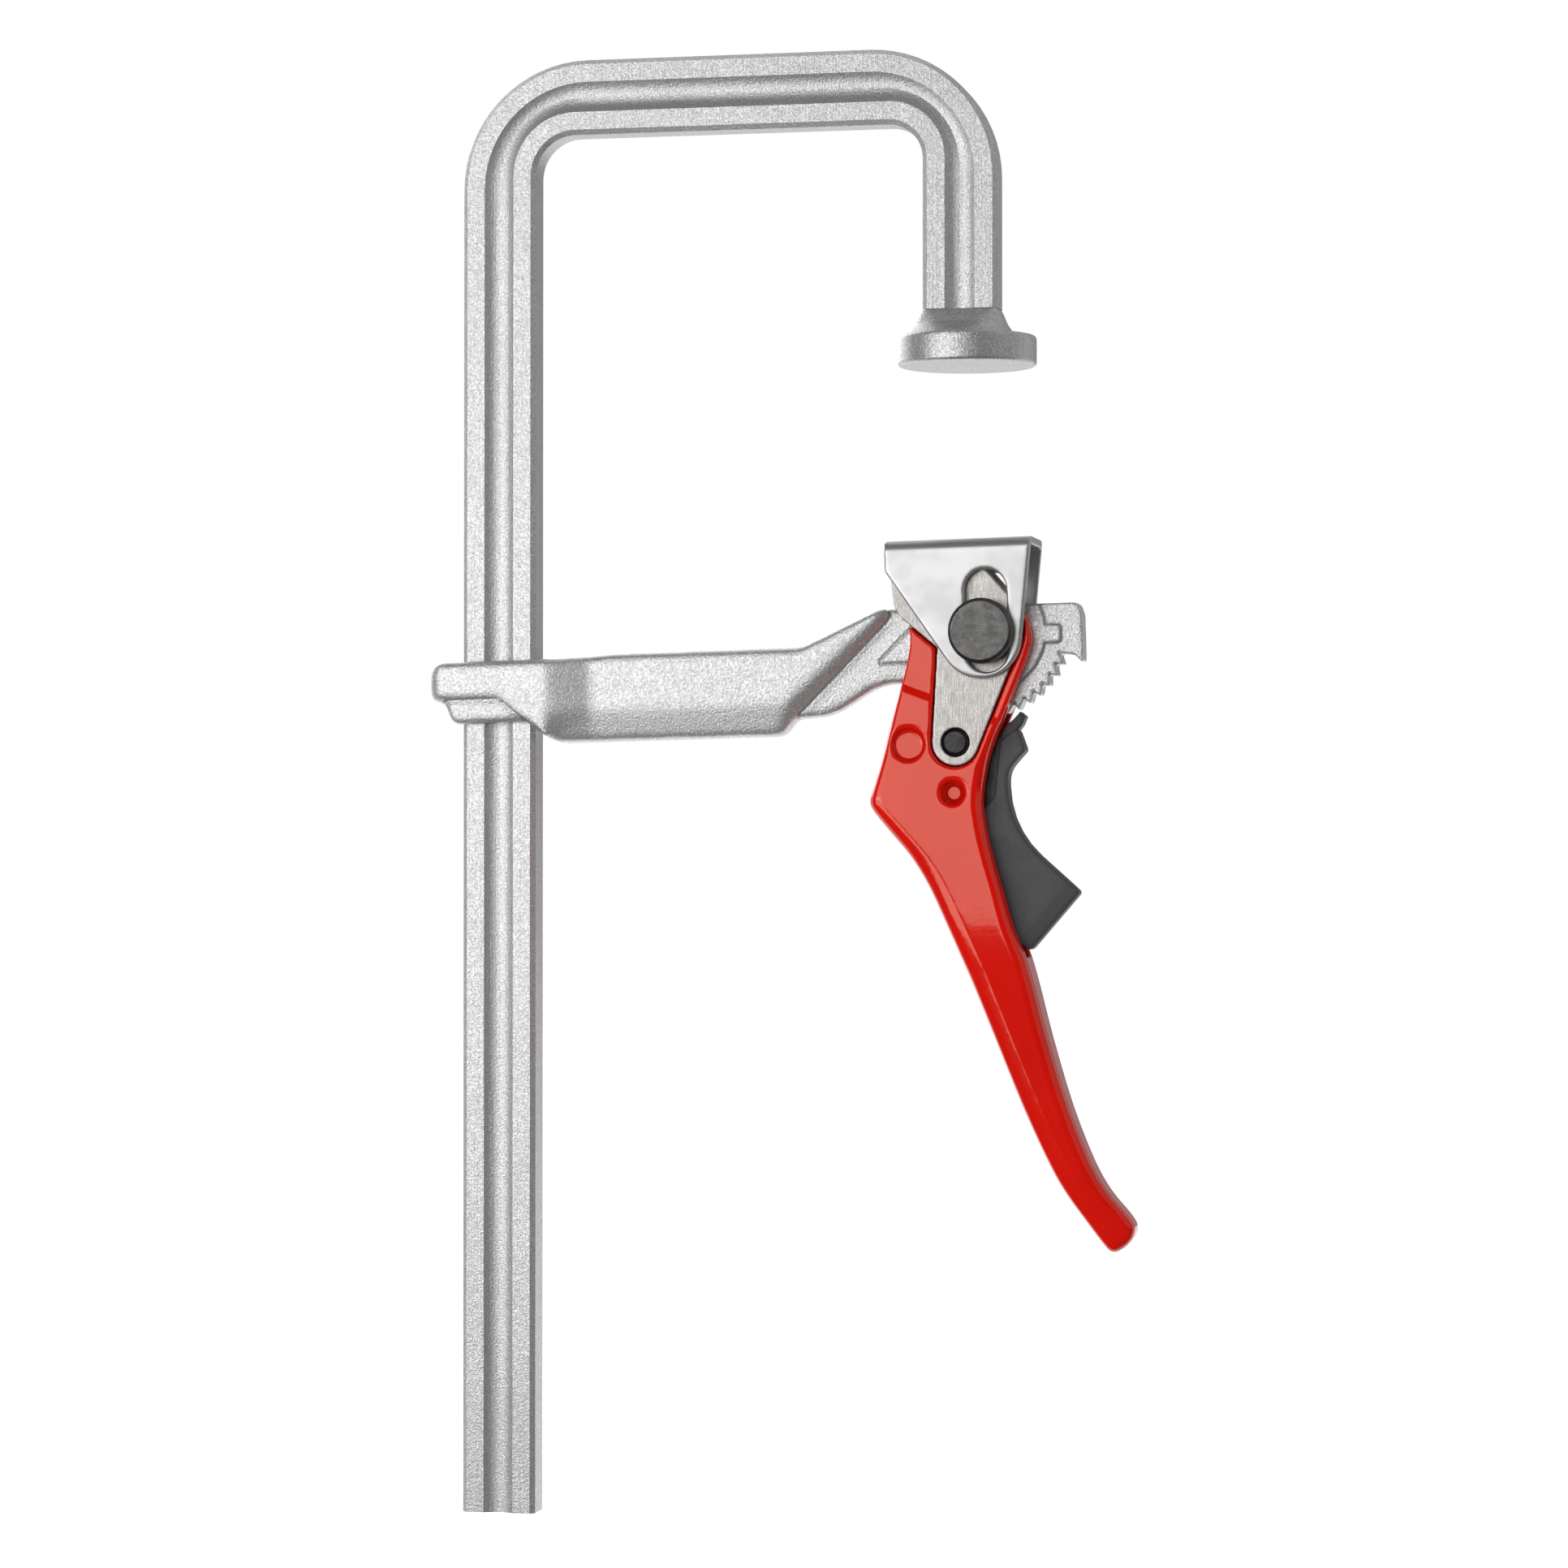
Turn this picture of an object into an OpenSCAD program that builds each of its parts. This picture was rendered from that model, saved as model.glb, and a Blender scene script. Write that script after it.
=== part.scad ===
// U-shaped lever clamp: a bent rail with a fixed jaw, and an arm that slides on its long leg.
// A lever handle turns two cam plates under a folded pressure plate, and a sprung pawl
// holds the lever on the toothed edge of the arm.
// Lengths are in millimetres. X runs from the rail towards the jaws, Z up along the rail and
// Y away from the viewer. The origin is the centre of the fixed jaw's flat face.

/* [Rail] */
// Width of the rail across its grooved faces
rail_w = 24; // [22:0.5:26]
// Thickness of the rail
rail_t = 12; // [10:0.5:13]
// Chamfer along each corner of the rail
rail_chamfer = 1.5; // [0.8:0.1:2]
// Width of the rolled groove in each wide face
groove_w = 9.6; // [8:0.2:11]
// Depth of the rolled groove
groove_depth = 1.5; // [0.8:0.1:1.8]
// Throat: jaw axis to the near side of the long leg
throat_depth = 140; // [120:1:180]
// Height of the bow above the fixed jaw's face
bow_h = 77; // [70:1:110]
// Length of the long leg below the fixed jaw's face
leg_l = 366; // [330:1:420]
// Inner radius of the bend over the long leg
back_bend_r = 13; // [10:1:20]
// Inner radius of the bend over the fixed jaw
jaw_bend_r = 11; // [8:1:18]
// Outer radius of both bends, where the bar is drawn thinner
bend_outer_r = 41; // [36:1:46]

/* [Fixed jaw] */
// Diameter of the jaw disc
jaw_d = 44; // [40:1:50]
// Thickness of the jaw disc
jaw_t = 9.5; // [8:0.5:12]
// Rounding of the disc's rims
jaw_edge_r = 0.8; // [0.4:0.1:1.5]
// Height of the upset flare between rail and disc
flare_h = 8.5; // [6:0.5:12]
// Diameter of the flare where it meets the disc
flare_d = 37; // [34:1:38]
// Offset of the disc's axis from the middle of its leg
jaw_shift = 1.5; // [0:0.5:2.5]

/* [Sliding arm] */
// Opening between the jaws as stored
jaw_gap = 55; // [45:1:80]
// Distance of the main pin beyond the jaw axis
pin_offset = 6.8; // [4:0.2:9]
// Tilt of the arm as it hangs on the rail, in degrees
arm_cant = 1.4; // [0.6:0.1:2]
// Height of the arm's body
body_h = 28.2; // [26:0.2:32]
// Thickness of the arm's body
body_t = 14; // [13:0.2:16]
// Thickness of the collar round the rail
collar_t = 22; // [21:0.2:24]
// Width of the collar's end wall behind the rail
collar_wall = 9.5; // [7:0.5:11]
// Thickness of the collar's lower lip
lip_t = 19.4; // [18.6:0.2:20.4]
// Rounding of the forged edges
forged_r = 1.7; // [1.2:0.1:2]
// Clearance between collar and rail on each side
rail_clear = 0.3; // [0.2:0.05:0.5]
// Thickness of the toothed plate
plate_t = 7.8; // [7.2:0.1:8]
// Thickness of the bearing boss on the plate
boss_t = 8.6; // [8.2:0.1:8.8]

/* [Ratchet] */
// Radius of the tooth tips round the main pin
tooth_r = 26.5; // [26.2:0.1:26.8]
// Depth of the teeth
tooth_depth = 2.4; // [1.8:0.1:2.6]
// Angle from tooth to tooth
tooth_pitch = 8.87; // [8.8:0.01:8.95]
// Number of teeth
tooth_count = 10; // [9:1:11]

/* [Pressure plate] */
// Width of the folded plate across its flanges
pad_w = 26; // [25.6:0.2:28]
// Thickness of the sheet
sheet_t = 2.5; // [2:0.1:2.6]
// Outer bend radius of the sheet
sheet_bend_r = 3.6; // [3:0.1:4.5]
// Height of the clamping face above the main pin
pad_lift = 29.5; // [29:0.1:30]
// Reach of the clamping face towards the rail, from the main pin
pad_back = 30.8; // [29:0.2:32]
// Reach of the clamping face away from the rail
pad_front = 16.2; // [15:0.2:18]
// Radius of the flanges' round lower end
foot_r = 13.1; // [12.5:0.1:13.4]
// Width of the slot in each flange
slot_w = 13.2; // [12:0.2:13.4]

/* [Cam plates] */
// Thickness of each cam plate
cam_t = 2.8; // [2.4:0.1:2.8]
// Lift of the cam for each radian of handle swing, as a share of the face's height
rise_share = 0.522; // [0.5:0.002:0.534]
// Radius of the cam plate's body beside the main pin
cam_hub_r = 13.4; // [13:0.1:13.6]
// Radius of the cam plate's tongue round the cam pin
tongue_r = 7.4; // [6.8:0.1:7.8]
// Gap between cam and pressure plate
cam_clear = 0.15; // [0.1:0.05:0.3]

/* [Pins] */
// Diameter of the main pin
main_pin_d = 10; // [9:0.1:10.2]
// Diameter of the main pin's head
head_d = 20.6; // [19:0.2:21]
// Thickness of the main pin's head
head_t = 4.5; // [3.5:0.1:5]
// Diameter of the cam pin
cam_pin_d = 9; // [8:0.1:9.2]
// Diameter of the trigger pin
trigger_pin_d = 5; // [4.5:0.1:5.2]
// Radial running clearance of a pin in its bore
pin_clear = 0.05; // [0.02:0.01:0.08]

/* [Handle] */
// Length of the handle's forked head below the main pin
head_l = 100; // [98:0.5:102]
// Length of the grip below the head
grip_l = 96; // [85:1:110]
// Thickness of the handle
handle_t = 21.8; // [21.6:0.1:22]
// Space between the handle's cheeks
fork_gap = 9.2; // [9:0.1:9.4]
// Relief of the cheeks under the pressure plate's flanges
cheek_step = 1; // [0.8:0.1:1.2]
// Gap round the cam plates in their pockets
pocket_clear = 0.5; // [0.3:0.05:0.7]

/* [Trigger] */
// Thickness of the trigger
trigger_t = 8.4; // [8:0.1:8.6]
// Thickness of the pawl
pawl_t = 6.4; // [6:0.1:6.8]
// Angle by which the stored trigger holds the pawl clear of the teeth
pawl_lift = 4.4; // [4.2:0.1:4.8]
// Rounding of the trigger's edges
trigger_edge_r = 0.8; // [0.5:0.1:0.9]
// Wire diameter of the pawl spring
wire_d = 0.8; // [0.6:0.1:0.9]

/* [Hidden] */

// Extra length of a cut past the face that it opens
over = rail_t;
// Gap between faces that slide on each other side by side
side_clear = 0.3;
// Segments of a modelled rounding and of a true circle
round_steps = 5;
circle_steps = 64;
$fn = circle_steps;

// The arm's frame: its origin is the main pin's axis, tilted by the cant
pin_z = -(jaw_gap + pad_lift);

// Levels of the arm, from the main pin
body_share = 0.094;
body_top = -body_h * body_share;
body_low = body_top - body_h;
head_rise_share = 0.305;
head_top = body_h * head_rise_share;
collar_mid = body_top - body_h / 2;
collar_x = (collar_mid * sin(arm_cant) - throat_depth - rail_w / 2 - pin_offset) / cos(arm_cant);
collar_slot_w = rail_w / cos(arm_cant) + body_h * tan(arm_cant) + 2 * rail_clear;
collar_slot_t = rail_t + 2 * rail_clear;
collar_end = collar_x - collar_slot_w / 2 - collar_wall;
collar_side = collar_x + collar_slot_w / 2;

// Places in the handle's head, as shares of its length
cam_pin_shares = [-0.099, -0.345];
pivot_shares = [-0.110, -0.504];
cam_pin_at = cam_pin_shares * head_l;
pivot_at = pivot_shares * head_l;

// Teeth: the angles are below the horizontal, and grow towards the closed handle
first_tooth = 24.4;
tooth_fall = 1.7;
root_r = tooth_r - tooth_depth;
rest_tooth = first_tooth + 5 * tooth_pitch;
nose_clear = 0.3;

// Layers across the clamp, as distances from its middle plane
cheek_in = fork_gap / 2;
flange_clear = 0.5;
cam_clear_side = 0.1;
cam_out = pad_w / 2 - sheet_t - flange_clear;
cam_in = cam_out - cam_t;
pocket_floor = cam_in - cam_clear_side;
cheek_out = handle_t / 2 - cheek_step;
pin_recess = 3;
pin_end = handle_t / 2 - pin_recess;

// Plane helpers
function unit(v) = v / norm(v);
function polar(r, a) = [r * cos(a), r * sin(a)];
function below(r, a) = polar(r, -a);
function flat2(p) = [p.x, p.y];
function wrap(list, i) = list[(i + len(list)) % len(list)];
function turned(p, centre, a) =
    let (d = p - centre)
    centre + [d.x * cos(a) - d.y * sin(a), d.x * sin(a) + d.y * cos(a)];

// One corner of an outline, given as [x, z, radius], as an arc between its neighbours
function corner(before, at, after, steps) =
    let (
        here = flat2(at),
        u = unit(flat2(before) - here),
        v = unit(flat2(after) - here),
        half = acos(u * v) / 2,
        centre = here + unit(u + v) * at[2] / sin(half),
        from = here + u * at[2] / tan(half) - centre,
        to = here + v * at[2] / tan(half) - centre,
        a = atan2(from.y, from.x),
        swing = atan2(from.x * to.y - from.y * to.x, from * to)
    )
    [for (i = [0:steps]) centre + polar(at[2], a + swing * i / steps)];

function rounded(points, steps = round_steps) = [
    for (i = [0:len(points) - 1])
        each points[i][2] > 0
            ? corner(wrap(points, i - 1), points[i], wrap(points, i + 1), steps)
            : [flat2(points[i])]
];

// Outline moved inwards along the mitres of its corners; it runs anticlockwise
function inset(points, d) = [
    for (i = [0:len(points) - 1])
        let (
            a = unit(points[i] - wrap(points, i - 1)),
            b = unit(wrap(points, i + 1) - points[i]),
            n = [-a.y, a.x],
            m = [-b.y, b.x]
        )
        points[i] + d * (n + m) / (1 + n * m)
];

// Triangles that fill the band between two sides of an outline: one side goes on from point i to
// point i_end, the other goes back from point j to point j_end
function band(points, i, j, i_end, j_end) =
    i == i_end && j == j_end
        ? []
        : j == j_end || (i < i_end && norm(points[i + 1] - points[j]) < norm(points[i] - points[j - 1]))
            ? concat([[i, i + 1, j]], band(points, i + 1, j, i_end, j_end))
            : concat([[i, j - 1, j]], band(points, i, j - 1, i_end, j_end));

// Skin over rings of points, each ring with the same count, closed by flat ends
module skin(rings, fill = undef) {
    n = len(rings[0]);
    last = len(rings) - 1;
    flat = is_undef(fill) ? [[for (i = [0:n - 1]) i]] : fill;
    sides = [
        for (k = [0:last - 1], i = [0:n - 1])
            let (
                a = k * n + i,
                b = k * n + (i + 1) % n
            )
            each [[a, b, b + n], [a, b + n, a + n]]
    ];
    ends = concat(
        [for (f = flat) [for (k = [len(f) - 1:-1:0]) f[k]]],
        [for (f = flat) [for (i = f) last * n + i]]
    );
    polyhedron(points = [for (ring = rings) each ring], faces = concat(sides, ends), convexity = 8);
}

// Plate in the XZ plane, centred on Y = 0, with both rims rounded; drops thin it at each point
module rounded_plate(outline, t, edge_r, drops, fill = undef, steps = 2) {
    function ring(a, side) =
        let (shape = inset(outline, edge_r * (1 - cos(a))))
        [
            for (i = [0:len(shape) - 1])
                [shape[i].x, side * (t / 2 - edge_r * (1 - sin(a)) - drops[i]), shape[i].y]
        ];
    front = [for (i = [steps:-1:0]) ring(90 * i / steps, -1)];
    back = [for (i = [0:steps]) ring(90 * i / steps, 1)];
    skin(concat(front, back), fill);
}

// Extrusion of a flat XZ shape, from depth y0 to depth y1
module layer(y0, y1) {
    translate([0, y1, 0])
        rotate([90, 0, 0])
            linear_extrude(y1 - y0, convexity = 8)
                children();
}

module slab(t) {
    layer(-t / 2, t / 2)
        children();
}

// The same layer in front of and behind the middle plane
module both_layers(y0, y1) {
    layer(y0, y1)
        children();
    layer(-y1, -y0)
        children();
}

// Circles are [x, z, radius]. A belt runs anticlockwise round them, and leaves one for the
// next along their common tangent, whose outward direction this gives
function leaving(a, b) =
    let (d = flat2(b) - flat2(a))
    atan2(d.y, d.x) - acos((a[2] - b[2]) / norm(d));

// Points on a circle, going anticlockwise from one direction to another
function arc(c, from, to, steps = 12) =
    let (swing = ((to - from) % 360 + 360) % 360)
    [for (i = [0:steps]) flat2(c) + polar(c[2], from + swing * i / steps)];

module arm_frame() {
    translate([pin_offset, 0, pin_z])
        rotate([0, -arm_cant, 0])
            children();
}

module cross_bore(at, r) {
    translate([at.x, 0, at.y])
        rotate([90, 0, 0])
            cylinder(r = r, h = pad_w + 2 * over, center = true);
}

// Rail: a rolled bar bent into a hook
groove_r = (groove_w * groove_w / 4 + groove_depth * groove_depth) / (2 * groove_depth);

module rail_section() {
    w = rail_w / 2;
    t = rail_t / 2;
    c = rail_chamfer;
    difference() {
        polygon([
            [0, -t], [w - c, -t], [w, c - t], [w, t - c], [w - c, t], [0, t]
        ]);
        for (side = [-1, 1])
            translate([0, side * (t - groove_depth + groove_r)])
                circle(groove_r);
    }
}

// Straight run of half the bar, from its middle to the side that X points to
module half_run(l) {
    linear_extrude(l)
        rail_section();
}

// Quarter bend of half the bar; the half on the outside of the bend faces outwards
module half_bend(r, outside) {
    rotate([90, 0, 0])
        rotate_extrude(angle = 90)
            translate([outside ? r - rail_w / 2 : r + rail_w / 2, 0])
                mirror([outside ? 0 : 1, 0])
                    rail_section();
}

// One half of the bow: up the long leg, over, and down to the jaw
module bow_half(back_r, jaw_r, outside) {
    side = outside ? 1 : -1;
    shift = outside ? rail_w / 2 : -rail_w / 2;
    back_x = -throat_depth - rail_w / 2;
    jaw_x = -jaw_shift;
    top = bow_h + rail_w / 2;
    back_c = back_r - shift;
    jaw_c = jaw_r - shift;
    flare_top = jaw_t + flare_h;
    translate([back_x, 0, -leg_l])
        mirror([outside ? 1 : 0, 0, 0])
            half_run(leg_l + top - back_c);
    translate([back_x + back_c, 0, top - back_c])
        mirror([1, 0, 0])
            half_bend(back_r, outside);
    translate([back_x + back_c, 0, top])
        rotate([0, 90, 0])
            mirror([outside ? 1 : 0, 0, 0])
                half_run(jaw_x - jaw_c - back_x - back_c);
    translate([jaw_x - jaw_c, 0, top - jaw_c])
        half_bend(jaw_r, outside);
    translate([jaw_x, 0, flare_top])
        mirror([outside ? 0 : 1, 0, 0])
            half_run(top - jaw_c - flare_top);
}

module rail() {
    color("silver") {
        bow_half(bend_outer_r, bend_outer_r, true);
        bow_half(back_bend_r, jaw_bend_r, false);
    }
}

// Fixed jaw: a disc with an upset flare that takes the end of the rail
flare_waist_share = 0.42;
flare_swell_share = 0.62;

module flare_slice(z, share) {
    corner_r = rail_chamfer + share * (flare_d / 2 - rail_chamfer);
    half_w = rail_w / 2 + share * (flare_d - rail_w) / 2 - corner_r;
    half_t = rail_t / 2 + share * (flare_d - rail_t) / 2 - corner_r;
    translate([-jaw_shift * (1 + share), 0, z])
        linear_extrude(side_clear)
            for (x = [-half_w, half_w], y = [-half_t, half_t])
                translate([x, y])
                    circle(corner_r, $fn = 32);
}

module fixed_jaw() {
    top = jaw_t + flare_h - side_clear;
    waist = jaw_t + flare_h * flare_waist_share;
    low = jaw_t - side_clear;
    rim = [
        [0, 0, 0], [jaw_d / 2, 0, jaw_edge_r], [jaw_d / 2, jaw_t, jaw_edge_r], [0, jaw_t, 0]
    ];
    color("silver") {
        rotate_extrude()
            polygon(rounded(rim));
        hull() {
            flare_slice(top, 0);
            flare_slice(waist, flare_waist_share);
        }
        hull() {
            flare_slice(waist, flare_waist_share);
            flare_slice(low, 1);
        }
    }
}

// Sliding arm: a forging with the collar, the tapered body and the toothed plate
// Each station is [x, top, foot of the flat face, underside, half thickness, half thickness below]
head_reach_share = 2.375;
head_reach = head_reach_share * body_h;
lip_top_share = 0.5;
lip_top = body_top - lip_top_share * body_h;
collar_foot_share = 0.45;
collar_foot = body_top - collar_foot_share * body_h;
face_foot_share = 0.63;
face_foot = body_top - face_foot_share * body_h;
taper_share = 0.635;
taper_end = collar_side + taper_share * body_h;
thin_in = plate_t / 2;
body_half = body_t / 2;
collar_half = collar_t / 2;
lip_half = lip_t / 2;

function level(share) = body_low + share * (head_top - body_low);

mid_half = collar_half - (collar_half - body_half) * 0.2;
end_half = 0.78 * collar_half;
arm_stations = [
    [collar_end, body_top - 2.6 * forged_r, collar_foot + forged_r, lip_top + forged_r, end_half, 0.9 * end_half],
    [collar_end + 0.5 * forged_r, body_top - 1.3 * forged_r, collar_foot, lip_top, end_half + 0.3 * forged_r, end_half],
    [collar_end + 1.9 * forged_r, body_top - 0.6 * forged_r, collar_foot, lip_top, collar_half, lip_half],
    [collar_x, body_top - 0.6 * forged_r, collar_foot, lip_top, collar_half, lip_half],
    [collar_side + 2.5 * forged_r, body_top - 0.6 * forged_r, collar_foot, body_low + forged_r, collar_half, lip_half],
    [collar_side + 4.2 * forged_r, body_top - 0.6 * forged_r, face_foot, body_low, mid_half, 0.75 * lip_half],
    [taper_end, body_top - 0.3 * forged_r, face_foot, body_low, body_half, 0.68 * body_half],
    [taper_end + body_t / 2, body_top, face_foot, body_low, body_half, 0.68 * body_half],
    [-head_reach, body_top, face_foot, body_low, body_half, 0.68 * body_half],
    [-0.978 * head_reach, body_top, level(0.275), level(0.03), body_half, 0.64 * body_half],
    [-0.940 * head_reach, body_top, level(0.28), level(0.11), body_half, 0.6 * body_half],
    [-0.910 * head_reach, body_top, level(0.345), level(0.165), body_half, thin_in],
    [-0.8925 * head_reach, body_top, level(0.36), level(0.18), body_half, thin_in],
    [-0.515 * head_reach, head_top, level(0.925), level(0.81), body_half, thin_in],
    [-0.485 * head_reach, head_top, level(0.94), level(0.855), body_half - forged_r, thin_in],
    [-0.457 * head_reach, head_top, level(0.94), level(0.89), thin_in, thin_in - forged_r]
];

function arm_ring(s) =
    let (
        x = s[0],
        top = s[1],
        foot = s[2],
        low = s[3],
        half = s[4],
        core = s[5],
        e = forged_r,
        side = [
            [half - e, top],
            [half - 0.3 * e, top - 0.3 * e],
            [half, top - e],
            [half, foot],
            [core, low + 0.5 * e],
            [core - 0.5 * e, low]
        ]
    )
    concat(
        [for (p = side) [x, p.x, p.y]],
        [for (i = [len(side) - 1:-1:0]) [x, -side[i].x, side[i].y]]
    );

module arm_forging() {
    skin([for (s = arm_stations) arm_ring(s)]);
}

module collar_lip() {
    lip = [
        [collar_end + 2 * forged_r, lip_top + 2 * forged_r, forged_r],
        [collar_end + 4.2 * forged_r, lip_top - 0.27 * body_h, 2 * forged_r],
        [collar_side - 0.6 * forged_r, lip_top - 0.25 * body_h, forged_r],
        [collar_side - 0.6 * forged_r, lip_top + 2 * forged_r, forged_r]
    ];
    outline = rounded(lip);
    rounded_plate(outline, lip_t, 0.8 * forged_r, outline * [0, 0]);
}

// Toothed edge: a gentle ramp up to each tip, then a steep face back to the root
tooth_points = [
    for (i = [tooth_count - 1:-1:0])
        let (a = first_tooth + i * tooth_pitch)
        each [
            below(root_r, a + tooth_fall),
            below(tooth_r, a),
            below(tooth_r, a - tooth_fall / 4),
            below(root_r, a - tooth_pitch + tooth_fall)
        ]
];

// Places of the toothed plate's outline, as shares of the tooth tips' radius
hook_shares = [
    [1.059, -0.305, 0.03], [1.127, -0.392, 0.015], [1.153, -0.369, 0.01],
    [1.153, 0.172, 0.05], [1.104, 0.325, 0.08]
];
web_shares = [
    [-1.21, 0.325, 0], [-2.155, -0.17, 0], [-2.32, -0.959, 0], [-2.008, -0.947, 0.25],
    [-1.811, -0.888, 0.4], [-1.399, -0.635, 0.5], [-1.206, -0.575, 0.3], [-0.756, -0.573, 0.25],
    [-0.397, -0.893, 0.1]
];

module plate_outline() {
    teeth = [for (p = tooth_points) [p.x, p.y, 0]];
    polygon(rounded(concat(web_shares * tooth_r, teeth, hook_shares * tooth_r)));
}

// Raised bearing zone of the plate, which the handle's cheeks rub on
boss_shares = [[-1.346, -0.336, 0.03], [-0.616, -0.336, 0], [-0.669, 0.318, 0]];
tab_shares = [[0.544, -0.151, 0], [0.896, -0.151, 0.05], [0.896, 0.075, 0.05], [0.544, 0.075, 0]];
boss_r_share = 0.715;

module boss_outline() {
    intersection() {
        circle(boss_r_share * tooth_r);
        polygon(rounded([
            [-tooth_r, -tooth_r, 0], [tooth_r, -tooth_r, 0],
            [tooth_r, head_top, 0], [-tooth_r, head_top, 0]
        ]));
    }
    circle(cam_hub_r - side_clear);
    polygon(rounded(boss_shares * tooth_r));
    polygon(rounded(tab_shares * tooth_r));
}

module sliding_arm() {
    color("gainsboro")
        arm_frame()
            difference() {
                union() {
                    arm_forging();
                    collar_lip();
                    slab(plate_t)
                        plate_outline();
                    slab(boss_t)
                        boss_outline();
                }
                translate([collar_x, 0, collar_mid])
                    cube([collar_slot_w, collar_slot_t, body_h + 2 * over], center = true);
                cross_bore([0, 0], main_pin_d / 2);
            }
}

// Pressure plate: a folded channel whose slotted flanges hang on the main pin
pad_neck_share = 0.70;
foot_shares = [-0.05, -0.127];
foot_at = foot_shares * foot_r;
slot_x = (slot_w - main_pin_d) / 2 - side_clear;
slot_top_share = 0.44;
slot_low_share = -0.21;
slot_high = slot_top_share * pad_lift;
slot_low = slot_low_share * pad_lift;

module pad_section() {
    inner_w = pad_w - 2 * sheet_t;
    deep = pad_lift + 2 * foot_r;
    outer = [
        [-pad_w / 2, -deep, 0], [pad_w / 2, -deep, 0],
        [pad_w / 2, 0, sheet_bend_r], [-pad_w / 2, 0, sheet_bend_r]
    ];
    inner = [
        [-inner_w / 2, -deep - over, 0], [inner_w / 2, -deep - over, 0],
        [inner_w / 2, -sheet_t, sheet_bend_r - sheet_t], [-inner_w / 2, -sheet_t, sheet_bend_r - sheet_t]
    ];
    difference() {
        polygon(rounded(outer, 8));
        polygon(rounded(inner, 8));
    }
}

module pressure_plate() {
    neck = [sheet_t - pad_back, pad_neck_share * pad_lift, sheet_t];
    foot = [foot_at.x, foot_at.y, foot_r];
    flange = concat(
        [[-pad_back, pad_lift]],
        arc(neck, 180, leaving(neck, foot), round_steps),
        arc(foot, leaving(neck, foot), leaving(foot, [pad_front, pad_lift, 0]), 20),
        [[pad_front, pad_lift]]
    );
    color("lightgray")
        arm_frame()
            difference() {
                intersection() {
                    translate([-pad_back - over, 0, pad_lift])
                        rotate([90, 0, 90])
                            linear_extrude(pad_back + pad_front + 2 * over)
                                pad_section();
                    slab(pad_w + 2 * over)
                        polygon(flange);
                }
                cross_bore([slot_x, slot_high], slot_w / 2);
                cross_bore([slot_x, slot_low], slot_w / 2);
                translate([slot_x, 0, (slot_high + slot_low) / 2])
                    cube([slot_w, pad_w + 2 * over, slot_high - slot_low], center = true);
            }
}

// Cam: its support grows evenly with the angle, so a flat plate rises evenly with the swing
cam_from = 45;
cam_to = 108;
cam_step = 1.5;
cam_lift = pad_lift - sheet_t - cam_clear;
cam_rise = rise_share * pad_lift;
lobe_r_share = 0.52;
heel_r_share = 0.73;
heel_shares = [-1.41, 0.884];
cam_body_shares = [-0.074, 0.085];
lobe_r = lobe_r_share * cam_hub_r;
heel_r = heel_r_share * cam_hub_r;
heel_at = heel_shares * cam_hub_r;

function cam_support(a) = cam_lift + cam_rise * (a - 90) * PI / 180;
function cam_point(a, grow) = polar(cam_support(a) + grow, a) + polar(cam_rise, a + 90);

module cam_outline(grow = 0) {
    body = cam_body_shares * cam_hub_r;
    hub = [body.x, body.y, cam_hub_r + grow];
    heel = [heel_at.x, heel_at.y, heel_r + grow];
    tongue = [cam_pin_at.x, cam_pin_at.y, tongue_r + grow];
    tip = cam_point(cam_to, 0) - polar(lobe_r, cam_to);
    lobe = [tip.x, tip.y, lobe_r + grow];
    start = cam_point(cam_from, grow);
    inner = leaving(heel, hub);
    outer = leaving(hub, tongue);
    nook = hub[2] / cos((inner - outer) / 2);
    polygon(concat(
        [for (a = [cam_from:cam_step:cam_to]) cam_point(a, grow)],
        arc(lobe, cam_to, leaving(lobe, heel)),
        arc(heel, leaving(lobe, heel), inner),
        [body + polar(nook, (inner + outer) / 2)],
        arc(tongue, outer, leaving(tongue, hub)),
        arc(hub, leaving(tongue, hub), leaving(hub, [start.x, start.y, 0]))
    ));
}

module cam_plate() {
    difference() {
        layer(cam_in, cam_out)
            cam_outline();
        cross_bore([0, 0], main_pin_d / 2 + pin_clear);
        cross_bore(cam_pin_at, cam_pin_d / 2);
    }
}

module cam_plate_front() {
    color("tan")
        arm_frame()
            mirror([0, 1, 0])
                cam_plate();
}

module cam_plate_rear() {
    color("tan")
        arm_frame()
            cam_plate();
}

// Pins: outlines of half their length section, turned round their own axis
module turned_pin(at, profile) {
    translate([at.x, 0, at.y])
        rotate([90, 0, 0])
            rotate_extrude()
                polygon(profile);
}

head_bevel_share = 0.22;
bevel_share = 0.12;

module main_pin() {
    seat = pad_w / 2 + side_clear;
    r = main_pin_d / 2;
    b = head_bevel_share * head_t;
    back = 0.85 * head_d / 2;
    profile = [
        [0, -seat - 0.75 * head_t],
        [back - 2 * b, -seat - 0.75 * head_t],
        [back, -seat - 0.4 * head_t],
        [back, -seat],
        [r, -seat],
        [r, seat],
        [head_d / 2, seat],
        [head_d / 2, seat + head_t - b],
        [head_d / 2 - b, seat + head_t],
        [0, seat + head_t]
    ];
    color("dimgray")
        arm_frame()
            turned_pin([0, 0], profile);
}

module plain_pin(at, d, half) {
    r = d / 2;
    b = bevel_share * d;
    turned_pin(at, [
        [0, -half], [r - b, -half], [r, b - half], [r, half - b], [r - b, half], [0, half]
    ]);
}

module cam_pin() {
    color("dimgray")
        arm_frame()
            plain_pin(cam_pin_at, cam_pin_d, cam_out + side_clear);
}

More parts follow.
